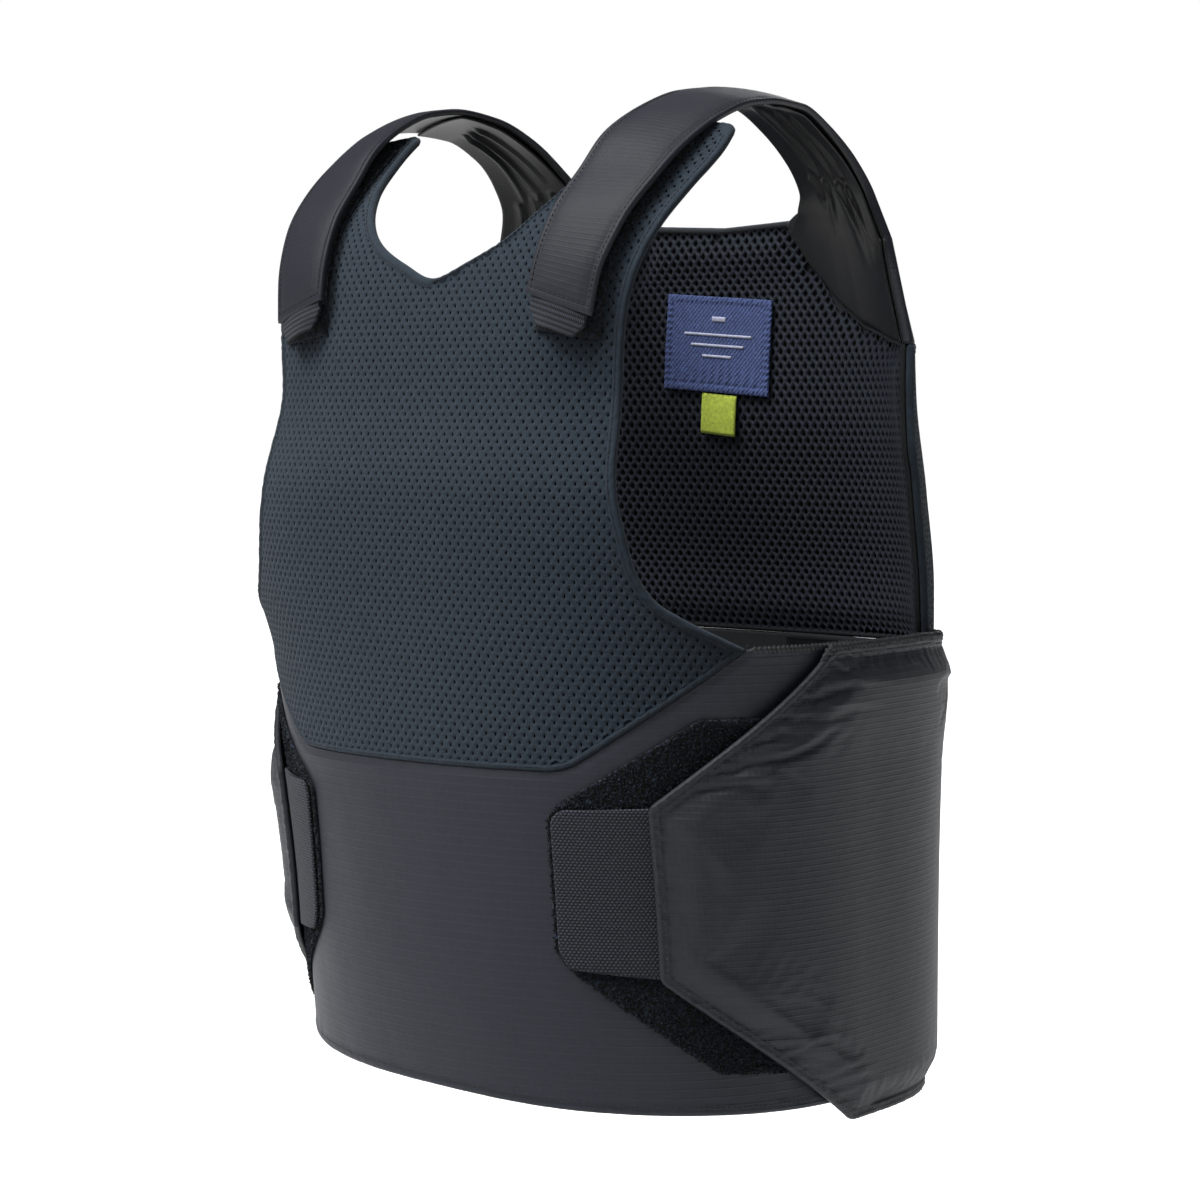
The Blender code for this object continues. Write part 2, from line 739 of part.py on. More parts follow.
def strap_hook(name, side, finish):
    """Hook strip sewn under the front end of the strap."""
    across = [HOOK_INSET + u * (1.0 - 2.0 * HOOK_INSET) for u in even(6)]
    rows = strap_rows(side, across)[:HOOK_ROWS]
    top = STRAP_THICK + HOOK_GAP
    outer, inner = faces_of(rows, side, lambda v, c: top, lambda v, c: top + HOOK_THICK)
    return closed_solid(name, outer, inner, grid(len(across), len(rows)), finish)


def strap_tip(name, side, finish):
    """Webbing pull tab at the strap's front end, its corners cut off."""
    rows = strap_rows(side, [0.0, 0.5, 1.0])
    left, right = rows[0][0], rows[0][-1]
    down = (rows[0][1] - rows[1][1]).normalized()
    over = (right - left).normalized()
    normal = (-over).cross(down).normalized() * side
    outer = []
    for along, corner in TIP_ROWS:
        a = left + over * (TIP_INSET + corner)
        b = right - over * (TIP_INSET + corner)
        for u in even(4):
            bow = normal * (STRAP_CROWN * 4.0 * u * (1.0 - u))
            outer.append(a.lerp(b, u) + bow + down * (TIP_CLEAR + along * TIP_LENGTH) - normal * TIP_DROP)
    inner = [p - normal * TIP_THICK for p in outer]
    return closed_solid(name, outer, inner, grid(5, 3), finish)


def between(table, cuts, rows, first, last):
    """Grid of places between the top and bottom lines of a table."""
    heads = column(table, 0)
    places = []
    for v in rows:
        for s in cuts:
            top = straight(heads, column(table, first), s)
            low = straight(heads, column(table, last), s)
            places.append((s, low + v * (top - low)))
    return places


def wing_base(s):
    """Stand-off of the wing's inner face from the worn shape."""
    return WING_FRONT_BASE + (WING_BACK_BASE - WING_FRONT_BASE) * ease((s - WING_BASE_FROM) / WING_BASE_OVER)


def wing(name, side, finish):
    """Padded side wing, sewn to the back and closed over the front."""
    cuts = [WING[0][0]] + WING_FRONT_CUTS + [WING[1][0]] + WING_SIDE_CUTS + [WING[3][0]]
    rows = steps(WING_ROWS, WING_HEIGHT)
    places = between(WING, cuts, rows, 1, 2)
    count = len(cuts)
    free = list(range(count)) + [(len(rows) - 1) * count + c for c in range(count)]
    free += [r * count for r in range(len(rows))] + [r * count + count - 1 for r in range(len(rows))]
    skin = [wall(s, z) for s, z in places]
    far = edge_distances(skin, free)
    outer = []
    inner = []
    for (s, z), d in zip(places, far):
        base = wing_base(s)
        depth = WING_EDGE_THICK + (WING_THICK - WING_EDGE_THICK) * ease(d / WING_TAPER)
        outer.append(wall(side * s, z, base + depth))
        inner.append(wall(side * s, z, base))
    return closed_solid(name, outer, inner, grid(count, len(rows)), finish)


def sewn_on(name, side, table, cuts, finish, low, high):
    """Flat piece between top and bottom lines, laid on the worn shape."""
    rows = even(SEWN_ROWS)
    places = between(table, cuts, rows, 1, 2)
    outer = [wall(side * s, z, high) for s, z in places]
    inner = [wall(side * s, z, low) for s, z in places]
    return closed_solid(name, outer, inner, grid(len(cuts), len(rows)), finish)


def loop_patch(name, side, finish):
    cuts = [PATCH[0][0], PATCH[1][0]] + PATCH_CUTS + [PATCH[3][0]]
    return sewn_on(name, side, PATCH, cuts, finish, 2.0 * GAP, 2.0 * GAP + PATCH_THICK)


def elastic(name, side, finish):
    cuts = [ELASTIC[0][0], ELASTIC[1][0]] + ELASTIC_CUTS + [ELASTIC[2][0]]
    low = PATCH_THICK + 3.0 * GAP
    return sewn_on(name, side, ELASTIC, cuts, finish, low, low + ELASTIC_THICK)


def shoulder_lining(name, side, finish):
    """Thin lining inside the back of the shoulder, from the top of the strap to the seam."""
    across = [(x - SEAM_X[0]) / (SEAM_X[-1] - SEAM_X[0]) for x in SEAM_X[1:-1]]
    rows = down_to_seam(strap_rows(side, across)[LINING_FIRST_ROW:], side, across)
    top = STRAP_BACK_THICK + LINING_CLEAR
    low = top + SHOULDER_LINING_THICK
    outer, inner = faces_of(rows, side, lambda v, c: top, lambda v, c: low)
    count = len(across)
    outer[-count:] = seam_row(side, across, -top)
    inner[-count:] = seam_row(side, across, -low)
    return closed_solid(name, outer, inner, grid(count, len(rows)), finish)


def waist_band(name, left, right, finish):
    """Band inside the back, over the ripstop part, between two lengths from the centre back."""
    shared = [a for a in BACK_LOWER_AWAY if a > 0.0] + [0.0] + [-a for a in BACK_LOWER_AWAY if a > 0.0]
    across = sorted([left, right] + [a for a in shared if right + BAND_MIN_CUT < a < left - BAND_MIN_CUT])
    rows = even(4)
    outer = []
    inner = []
    for v in rows:
        z = BAND_BOTTOM_Z + v * (BAND_TOP_Z - BAND_BOTTOM_Z)
        for away in across:
            place = half_girth(z) - away
            outer.append(wall(place, z, -PANEL_THICK - BAND_CLEAR))
            inner.append(wall(place, z, -PANEL_THICK - BAND_CLEAR - BAND_THICK))
    return closed_solid(name, outer, inner, grid(len(across), len(rows)), finish)


def inside_back(across, down):
    """Point on the inner face of the back lining, across from the centre line and down from the neck."""
    z = LABEL_Z + down
    girth = half_girth(z)
    return wall(girth - across, z, -PANEL_THICK - LINING_THICK - LABEL_CLEAR)


def label(finish):
    """Woven label inside the back, sewn on a little askew."""
    outer = []
    inner = []
    for v in even(3):
        for u in even(5):
            a = (u - 0.5) * LABEL_WIDTH
            b = (v - 0.5) * LABEL_HEIGHT
            across = a * cos(LABEL_TURN) + b * sin(LABEL_TURN)
            down = b * cos(LABEL_TURN) - a * sin(LABEL_TURN)
            p = inside_back(across, down)
            outer.append(p)
            inner.append(p + Vector((0.0, -LABEL_THICK, 0.0)))
    return closed_solid("label", outer, inner, grid(6, 4), finish)


def size_tag(finish):
    """Small bare tag that hangs below the label."""
    outer = []
    inner = []
    for v in even(2):
        for u in even(2):
            a = TAG_ACROSS + (u - 0.5) * TAG_WIDTH
            b = -TAG_DOWN - v * TAG_HEIGHT
            across = a * cos(TAG_TURN) + b * sin(TAG_TURN)
            down = b * cos(TAG_TURN) - a * sin(TAG_TURN)
            p = inside_back(across, down)
            outer.append(p)
            inner.append(p + Vector((0.0, -TAG_THICK, 0.0)))
    return closed_solid("size_tag", outer, inner, grid(3, 3), finish)


def main():
    for old in list(bpy.data.objects):
        bpy.data.objects.remove(old, do_unlink=True)
    mesh_cloth = material("mesh_cloth", (0.038, 0.052, 0.066), 0.85)
    ripstop = material("ripstop", (0.040, 0.044, 0.056), 0.7)
    spacer = material("spacer_mesh", (0.010, 0.013, 0.018), 0.9)
    pile = material("loop_pile", (0.008, 0.009, 0.012), 0.95)
    webbing = material("webbing", (0.040, 0.042, 0.050), 0.8)
    dark_lining = material("dark_lining", (0.018, 0.019, 0.022), 0.6)
    woven = material("label_cloth", (0.050, 0.070, 0.160), 0.6)
    lime = material("tag_cloth", (0.450, 0.540, 0.080), 0.6)
    front_mesh_panel(mesh_cloth)
    front_lower_panel(ripstop)
    back_mesh_panel(mesh_cloth)
    back_lower_panel(ripstop)
    back_lining(spacer)
    for word, side in (("left", 1), ("right", -1)):
        shoulder_strap("shoulder_strap_" + word, side, ripstop)
        shoulder_lining("shoulder_lining_" + word, side, dark_lining)
        strap_hook("strap_hook_" + word, side, pile)
        strap_tip("strap_tip_" + word, side, webbing)
        shoulder_loop("shoulder_loop_" + word, side, pile)
        wing("wing_" + word, side, ripstop)
        elastic("elastic_" + word, side, webbing)
        loop_patch("loop_patch_" + word, side, pile)
    waist_band("waist_band_centre", BAND_CENTRE_HALF, -BAND_CENTRE_HALF, ripstop)
    waist_band("waist_band_left", BAND_SIDE_HALF, BAND_CENTRE_HALF + 2.0 * GAP, dark_lining)
    waist_band("waist_band_right", -BAND_CENTRE_HALF - 2.0 * GAP, -BAND_SIDE_HALF, dark_lining)
    label(woven)
    size_tag(lime)


main()
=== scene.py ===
"""Concealable protective vest in its worn shape: cloth, padding, pile, webbing and stitching."""
from math import cos, pi, radians, sin, tau

import bmesh
import bpy
import numpy as np
from bpy.props import FloatProperty, FloatVectorProperty, IntProperty, PointerProperty
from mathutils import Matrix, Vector, geometry


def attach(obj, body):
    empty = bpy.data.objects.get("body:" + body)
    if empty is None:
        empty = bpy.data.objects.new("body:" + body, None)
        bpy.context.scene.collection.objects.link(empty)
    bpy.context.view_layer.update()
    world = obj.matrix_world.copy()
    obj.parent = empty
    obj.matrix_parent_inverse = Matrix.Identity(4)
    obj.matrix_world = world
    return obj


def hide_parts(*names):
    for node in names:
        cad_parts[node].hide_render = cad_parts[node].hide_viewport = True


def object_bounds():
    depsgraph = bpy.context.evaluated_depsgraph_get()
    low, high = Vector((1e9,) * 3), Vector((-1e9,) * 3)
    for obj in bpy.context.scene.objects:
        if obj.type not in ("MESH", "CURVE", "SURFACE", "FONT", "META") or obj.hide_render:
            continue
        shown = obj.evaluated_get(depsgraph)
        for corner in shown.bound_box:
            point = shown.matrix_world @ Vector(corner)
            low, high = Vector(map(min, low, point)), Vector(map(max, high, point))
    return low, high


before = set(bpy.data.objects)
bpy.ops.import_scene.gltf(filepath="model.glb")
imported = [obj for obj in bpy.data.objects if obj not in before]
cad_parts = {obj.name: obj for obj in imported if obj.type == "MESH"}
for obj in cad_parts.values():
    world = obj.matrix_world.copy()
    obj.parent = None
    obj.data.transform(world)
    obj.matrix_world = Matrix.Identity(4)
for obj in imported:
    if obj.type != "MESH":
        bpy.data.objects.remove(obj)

bl_info = {
    "name": "Concealable vest",
    "version": (1, 0, 0),
    "blender": (4, 5, 0),
    "location": "View3D > Sidebar > Vest",
    "description": "Builds the cloth, padding and stitching of a concealable protective vest",
    "category": "Add Mesh",
}

CAD_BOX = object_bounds()
BODY = "root"
SIDES = (("left", 1), ("right", -1))

# Horizontal sections of the outer face of the worn vest, hem first: z, half width, the front's depth and
# power, the back's depth and power, and how far the middle leans to the wearer's left
SECTIONS = (
    (-0.612, 0.184, 0.160, 2.1, 0.157, 3.0, 0.018),
    (-0.500, 0.188, 0.166, 2.1, 0.163, 3.0, 0.013),
    (-0.400, 0.1965, 0.166, 2.2, 0.168, 3.0, 0.0065),
    (-0.340, 0.207, 0.162, 2.3, 0.175, 3.0, 0.002),
    (-0.300, 0.213, 0.160, 2.5, 0.176, 3.0, -0.003),
    (-0.240, 0.210, 0.159, 2.8, 0.167, 3.0, -0.002),
    (-0.184, 0.204, 0.149, 2.7, 0.158, 3.0, 0.000),
    (-0.147, 0.203, 0.144, 3.0, 0.157, 3.0, 0.000),
    (-0.111, 0.201, 0.137, 3.4, 0.157, 3.0, 0.000),
    (-0.084, 0.200, 0.127, 3.2, 0.154, 3.0, 0.000),
    (-0.057, 0.200, 0.107, 2.7, 0.147, 3.0, 0.000),
    (-0.037, 0.200, 0.084, 2.5, 0.128, 3.0, 0.000),
    (-0.018, 0.200, 0.056, 2.5, 0.108, 3.0, 0.000),
    (-0.004, 0.200, 0.028, 2.5, 0.080, 3.0, 0.000),
)
HEIGHT_STEP = 0.001
HEIGHTS = np.arange(-0.625, 0.0105, HEIGHT_STEP)
ROUND_STEPS = 720
NORMAL_REACH = 0.003

# Front upper panel: the armhole edge from the seam up, and the neck edge from the centre up, as s and z
ARMHOLE_EDGE = (
    (0.2172, -0.3255), (0.1997, -0.3166), (0.1829, -0.3077), (0.1663, -0.2964), (0.1562, -0.2795),
    (0.1510, -0.2600), (0.1455, -0.2370), (0.1415, -0.2080), (0.1395, -0.1780), (0.1402, -0.1444),
    (0.1440, -0.1162), (0.1478, -0.0992), (0.1535, -0.0792), (0.1580, -0.0610), (0.1610, -0.0480),
    (0.1620, -0.0370), (0.1595, -0.0230),
)
NECK_EDGE = (
    (0.0, -0.1115), (0.0260, -0.1020), (0.0520, -0.0880), (0.0690, -0.0705), (0.0790, -0.0540),
    (0.0850, -0.0360), (0.0905, -0.0150),
)
SEAM_CORNER_S = 0.107
SEAM_Z = -0.395
SIDE_S = 0.2172
SIDE_TOP_Z = -0.3255

# Front lower panel: hem height round the section, wearer's right first, as s and z
HEM = (
    (-0.300, -0.5730), (-0.200, -0.5755), (-0.106, -0.5790), (0.000, -0.5815), (0.100, -0.5875),
    (0.200, -0.5910), (0.300, -0.5935),
)
FRONT_SIDE_S = 0.300

# Back: side edge as z and s, upper edge as distance from the centre line and z
BACK_SEAM_Z = -0.3385
BACK_SEAM_RISE = 0.0115
BACK_SIDE_AWAY = 0.252
BACK_ARMHOLE = (
    (-0.3385, 0.3900), (-0.3000, 0.3930), (-0.2690, 0.3920), (-0.2350, 0.3890), (-0.2070, 0.3790),
    (-0.1790, 0.3770), (-0.1500, 0.3845),
)
BACK_HEM_Z = -0.600
SHOULDER_SEAM = ((0.0, -0.0690), (0.058, -0.0660), (0.076, -0.0950), (0.104, -0.1225), (0.124, -0.1350),
                 (0.156, -0.1450), (0.190, -0.1500))
SEAM_X_INNER = 0.058
SEAM_X_OUTER = 0.190

# Shoulder strap: rows on the chest as neck s, neck z, arm s, arm z, then rows over the shoulder as two points
CHEST_STRAP = (
    (0.0815, -0.1240, 0.1240, -0.1370),
    (0.0835, -0.1050, 0.1275, -0.1140),
    (0.0860, -0.0800, 0.1350, -0.0840),
    (0.0890, -0.0560, 0.1412, -0.0600),
)
OVER_STRAP = (
    (0.0920, -0.0900, -0.0270, 0.1445, -0.0775, -0.0348),
    (0.0960, -0.0610, -0.0095, 0.1480, -0.0493, -0.0175),
    (0.0990, -0.0300, 0.0015, 0.1500, -0.0210, -0.0072),
    (0.0995, 0.0000, 0.0050, 0.1500, 0.0072, -0.0040),
    (0.0970, 0.0330, 0.0010, 0.1475, 0.0348, -0.0048),
    (0.0950, 0.0660, -0.0110, 0.1462, 0.0642, -0.0157),
    (0.0935, 0.0960, -0.0300, 0.1495, 0.0880, -0.0350),
    (0.0900, 0.1150, -0.0460, 0.1540, 0.1020, -0.0570),
    (0.0800, 0.1290, -0.0590, 0.1630, 0.1070, -0.0840),
)
STRAP_LIFT = 0.0108
STRAP_CROWN = 0.0024
STRAP_THICK = 0.0042
STRAP_BACK_THICK = 0.0070
# Loop strip on the front's shoulder: rows of neck s, neck z, arm s, arm z
SHOULDER_LOOP = (
    (0.0840, -0.1440, 0.1265, -0.1500), (0.0860, -0.1150, 0.1290, -0.1200),
    (0.0880, -0.0850, 0.1365, -0.0860), (0.0900, -0.0600, 0.1415, -0.0600),
    (0.0925, -0.0400, 0.1430, -0.0435), (0.0950, -0.0270, 0.1425, -0.0340),
)

# Side wing, its elastic and the loop patch below: s, top z, bottom z
WING = ((0.1530, -0.4130, -0.5120), (0.2730, -0.3262, -0.6040), (0.3700, -0.3262, -0.6050),
        (0.4150, -0.3285, -0.6050), (0.4600, -0.3310, -0.6050))
ELASTIC = ((0.0975, -0.4210, -0.4960), (0.1035, -0.4158, -0.5060), (0.1600, -0.4138, -0.5115))
PATCH = ((0.0945, -0.4200, -0.4960), (0.1040, -0.4120, -0.5080), (0.1850, -0.3645, -0.5665),
         (0.2450, -0.3645, -0.5700))

PANEL_THICK = 0.010
PANEL_EDGE_THICK = 0.0045
PANEL_TAPER = 0.022
LINING_GAP = 0.0005
LINING_THICK = 0.0028
LABEL_SIZE = (0.088, 0.063)
LABEL_TURN = radians(4.0)
LABEL_Z = -0.1470
TAG_SIZE = (0.0285, 0.0250)
TAG_TURN = radians(5.0)

# Camera: its place, its level heading, and where its axis and horizon fall in the 1200 pixel picture
PICTURE = 1200
CAMERA_TURN = radians(40.0)
CAMERA_DISTANCE = 1.85
CAMERA_HEIGHT = -0.184
FOCAL_PIXELS = 2945
AXIS_PIXEL = 581
HORIZON_PIXEL = 400
SENSOR = 36.0


def monotone(xs, ys, x):
    """Smooth curve through (xs, ys) that never overshoots, held at both ends."""
    xs, ys = np.asarray(xs, float), np.asarray(ys, float)
    x = np.clip(x, xs[0], xs[-1])
    width = np.diff(xs)
    steep = np.diff(ys) / width
    grade = np.concatenate(([steep[0]], np.zeros(len(xs) - 2), [steep[-1]]))
    both = steep[:-1] * steep[1:]
    same = both > 0.0
    grade[1:-1][same] = 2.0 * both[same] / (steep[:-1] + steep[1:])[same]
    i = np.clip(np.searchsorted(xs, x, side="right") - 1, 0, len(xs) - 2)
    t = (x - xs[i]) / width[i]
    rise = ys[i + 1] - ys[i]
    first = width[i] * grade[i] - rise
    last = rise - width[i] * grade[i + 1]
    return ys[i] + t * rise + t * (1.0 - t) * ((1.0 - t) * first + t * last)


def ease(t):
    t = np.clip(t, 0.0, 1.0)
    return t * t * (3.0 - 2.0 * t)


def make_sections():
    """Half sections at every height, evenly divided from centre front to centre back."""
    table = np.array(SECTIONS).T
    half, front, front_power, back, back_power, lean = (monotone(table[0], row, HEIGHTS) for row in table[1:])
    angle = np.linspace(0.0, pi, 2 * ROUND_STEPS + 1)
    ahead = angle <= pi / 2
    shares = np.linspace(0.0, 1.0, ROUND_STEPS + 1)
    xs, ys, girths = [], [], []
    for i in range(len(HEIGHTS)):
        power = np.where(ahead, 2.0 / front_power[i], 2.0 / back_power[i])
        x = half[i] * np.abs(np.sin(angle)) ** power
        y = np.where(ahead, -front[i], back[i]) * np.abs(np.cos(angle)) ** power
        run = np.concatenate(([0.0], np.cumsum(np.hypot(np.diff(x), np.diff(y)))))
        girths.append(run[-1])
        xs.append(np.interp(shares * run[-1], run, x))
        ys.append(np.interp(shares * run[-1], run, y))
    return np.array(xs), np.array(ys), np.array(girths), lean


SECTION_X, SECTION_Y, SECTION_GIRTH, SECTION_LEAN = make_sections()


def half_girth(z):
    return np.interp(z, HEIGHTS, SECTION_GIRTH)


def on_section(s, z):
    """Points at length s round the section at height z, positive to the wearer's left."""
    s, z = np.broadcast_arrays(np.asarray(s, float), np.asarray(z, float))
    row = np.clip((z - HEIGHTS[0]) / HEIGHT_STEP, 0.0, len(HEIGHTS) - 1.001)
    i = row.astype(int)
    t = row - i
    girth = SECTION_GIRTH[i] * (1.0 - t) + SECTION_GIRTH[i + 1] * t
    side = np.where(s < 0.0, -1.0, 1.0)
    run = np.abs(s)
    past = run > girth
    run = np.where(past, 2.0 * girth - run, run)
    side = np.where(past, -side, side)
    column = np.clip(run / girth * ROUND_STEPS, 0.0, ROUND_STEPS - 0.001)
    j = column.astype(int)
    w = column - j

    def read(grid):
        low = grid[i, j] * (1.0 - w) + grid[i, j + 1] * w
        high = grid[i + 1, j] * (1.0 - w) + grid[i + 1, j + 1] * w
        return low * (1.0 - t) + high * t

    lean = SECTION_LEAN[i] * (1.0 - t) + SECTION_LEAN[i + 1] * t
    return np.stack((lean + side * read(SECTION_X), read(SECTION_Y), z), axis=-1)


def unit(v):
    return v / np.maximum(np.linalg.norm(v, axis=-1, keepdims=True), 1e-12)


def wall(s, z, out=0.0):
    """Points on the outer face of the worn shape, moved outwards by out."""
    s, z = np.asarray(s, float), np.asarray(z, float)
    along = on_section(s + NORMAL_REACH, z) - on_section(s - NORMAL_REACH, z)
    rise = on_section(s, z + NORMAL_REACH) - on_section(s, z - NORMAL_REACH)
    return on_section(s, z) + unit(np.cross(along, rise)) * np.asarray(out)[..., None]


class Drape:
    """Flat cloth coordinates on the worn shape: metres across, and metres up from a height."""

    def __init__(self, zero_z, profile_s, behind=False):
        self.behind = behind
        base = half_girth(HEIGHTS) if behind else 0.0
        line = on_section(base + profile_s, HEIGHTS)
        run = np.concatenate(([0.0], np.cumsum(np.linalg.norm(np.diff(line, axis=0), axis=1))))
        self.ups = run - np.interp(zero_z, HEIGHTS, run)

    def flat(self, across, z):
        return np.stack((np.asarray(across, float), np.interp(z, HEIGHTS, self.ups)), axis=-1)

    def lengths(self, flat):
        z = np.interp(flat[:, 1], self.ups, HEIGHTS)
        return (half_girth(z) + flat[:, 0] if self.behind else flat[:, 0]), z

    def place(self, flat, out=0.0):
        s, z = self.lengths(flat)
        return wall(s, z, np.broadcast_to(np.asarray(out, float), s.shape))


FRONT = Drape(SEAM_Z, 0.10)
BACK = Drape(BACK_SEAM_Z, -0.10, behind=True)


def rounded_path(points, step, closed=False):
    """Points at even steps along a smooth curve through the given ones."""
    points = np.asarray(points, float)
    run = np.concatenate(([0.0], np.cumsum(np.linalg.norm(np.diff(points, axis=0), axis=1))))
    count = max(2, int(round(run[-1] / step)) + 1)
    at = np.linspace(0.0, run[-1], count)
    return np.stack([monotone(run, points[:, k], at) for k in range(points.shape[1])], axis=1)


def straight_path(points, step):
    """Points at about even steps along straight lines that keep every corner."""
    points = np.asarray(points, float)
    made = [points[:1]]
    for a, b in zip(points, points[1:]):
        count = max(1, int(round(np.linalg.norm(b - a) / step)))
        made.append(a + (b - a) * np.linspace(0.0, 1.0, count + 1)[1:, None])
    return np.concatenate(made)


def cut_corners(points, radius, corners=None):
    """Closed outline with its corners rounded by short arcs."""
    points = np.asarray(points, float)
    made = []
    for i, p in enumerate(points):
        before, after = points[i - 1], points[(i + 1) % len(points)]
        r = radius if corners is None else corners.get(i, 0.0)
        if r <= 0.0:
            made.append(p)
            continue
        a = p + unit(before - p) * min(r, 0.45 * np.linalg.norm(before - p))
        b = p + unit(after - p) * min(r, 0.45 * np.linalg.norm(after - p))
        for t in np.linspace(0.0, 1.0, 5):
            made.append((1 - t) ** 2 * a + 2 * t * (1 - t) * p + t ** 2 * b)
    return np.array(made)


def inside(points, outline):
    """True where a flat point lies inside the closed outline."""
    x, y = points[:, 0:1], points[:, 1:2]
    a, b = outline, np.roll(outline, -1, axis=0)
    crosses = (a[:, 1] > y) != (b[:, 1] > y)
    span = np.where(np.abs(b[:, 1] - a[:, 1]) < 1e-12, 1e-12, b[:, 1] - a[:, 1])
    return (crosses & (x < a[:, 0] + (y - a[:, 1]) / span * (b[:, 0] - a[:, 0]))).sum(1) % 2 == 1


def distance(points, line, closed=True):
    """Distance from flat points to a line of short pieces."""
    a = line if closed else line[:-1]
    b = np.roll(line, -1, axis=0) if closed else line[1:]
    best = np.full(len(points), 1e9)
    for start in range(0, len(points), 4000):
        p = points[start:start + 4000, None, :]
        ab = b - a
        t = np.clip(((p - a) * ab).sum(-1) / np.maximum((ab ** 2).sum(-1), 1e-16), 0.0, 1.0)
        gap = np.linalg.norm(p - (a + t[..., None] * ab), axis=-1)
        best[start:start + 4000] = gap.min(1)
    return best


def lattice(low, high, spacing):
    """Points in staggered rows over a flat box."""
    rows = np.arange(low[1], high[1], spacing * 0.866)
    columns = np.arange(low[0], high[0], spacing)
    return np.array([(x + (r % 2) * spacing / 2, y) for r, y in enumerate(rows) for x in columns])


def cut_cloth(outline, rings, spacing):
    """Flat triangles over a closed outline: rings of points near its edge and an even lattice inside."""
    x, y = outline.T
    if np.sum(x * np.roll(y, -1) - y * np.roll(x, -1)) < 0.0:
        outline = outline[::-1]
    tangent = unit(np.roll(outline, -1, axis=0) - np.roll(outline, 1, axis=0))
    inward = np.stack((-tangent[:, 1], tangent[:, 0]), axis=1)
    extra = []
    for ring in rings:
        points = outline + inward * ring
        points = points[inside(points, outline)]
        extra.append(points[distance(points, outline) > 0.97 * ring])
    grid = lattice(outline.min(0), outline.max(0), spacing)
    grid = grid[inside(grid, outline)]
    extra.append(grid[distance(grid, outline) > rings[-1] + 0.6 * spacing])
    points = np.concatenate([outline] + extra)
    found = geometry.delaunay_2d_cdt([Vector(p) for p in points], [], [list(range(len(outline)))], 1, 1e-6)
    flat = np.array([tuple(p) for p in found[0]])
    triangles = np.array([tri for tri in found[2] if len(tri) == 3])
    return flat, triangles


def edge_loop(triangles):
    """Directed edges that belong to one triangle only."""
    edges = np.concatenate([triangles[:, [0, 1]], triangles[:, [1, 2]], triangles[:, [2, 0]]])
    key = set(map(tuple, edges))
    return np.array([e for e in map(tuple, edges) if (e[1], e[0]) not in key])


def new_piece(name, vertices, faces, uv=None, outward=True):
    """Mesh object at the origin, with cloth coordinates for each vertex in its UV map."""
    mesh = bpy.data.meshes.new(name)
    mesh.from_pydata(np.asarray(vertices).tolist(), [], [list(map(int, f)) for f in faces])
    if uv is not None:
        layer = mesh.uv_layers.new(name="cloth")
        index = np.empty(len(mesh.loops), int)
        mesh.loops.foreach_get("vertex_index", index)
        layer.data.foreach_set("uv", np.asarray(uv)[index].astype(np.float32).ravel())
    if outward:
        work = bmesh.new()
        work.from_mesh(mesh)
        bmesh.ops.recalc_face_normals(work, faces=work.faces)
        work.to_mesh(mesh)
        work.free()
    mesh.update()
    mesh.shade_smooth()
    piece = bpy.data.objects.new(name, mesh)
    bpy.context.scene.collection.objects.link(piece)
    return piece


def shell(name, cloth, outer, back, inner):
    """Closed body between two skins cut to one outline, its rim filled in; the back skin may be coarser."""
    flat, triangles = cloth
    back_flat, back_triangles = back
    rim = edge_loop(triangles)
    back_rim = np.unique(edge_loop(back_triangles))
    near = np.linalg.norm(flat[rim[:, 0]][:, None] - back_flat[back_rim][None], axis=2).argmin(1)
    twin = dict(zip(rim[:, 0].tolist(), (back_rim[near] + len(flat)).tolist()))
    faces = [*triangles, *(back_triangles[:, ::-1] + len(flat))]
    faces += [(b, a, twin[a], twin[b]) for a, b in rim.tolist()]
    return new_piece(name, np.concatenate((outer, inner)), faces, np.concatenate((flat, back_flat)))


def grid_faces(rows, columns):
    r, c = np.meshgrid(np.arange(rows - 1), np.arange(columns - 1), indexing="ij")
    a = (r * columns + c).ravel()
    return np.stack((a, a + 1, a + columns + 1, a + columns), axis=1)


def slab(name, outer, inner, flat):
    """Closed body between two grids of points, rows by columns."""
    rows, columns = outer.shape[:2]
    count = rows * columns
    top = grid_faces(rows, columns)
    faces = [*top, *(top[:, ::-1] + count)]
    at = np.arange(count).reshape(rows, columns)
    ring = np.concatenate((at[0, :-1], at[:-1, -1], at[-1, :0:-1], at[:0:-1, 0]))
    faces += [(b, a, a + count, b + count) for a, b in zip(ring, np.roll(ring, -1))]
    vertices = np.concatenate((outer.reshape(-1, 3), inner.reshape(-1, 3)))
    return new_piece(name, vertices, faces, np.concatenate((flat.reshape(-1, 2),) * 2))


def grid_normals(points):
    """Unit normals of a grid of points, rows by columns."""
    return unit(np.cross(np.gradient(points, axis=1), np.gradient(points, axis=0)))


# Materials

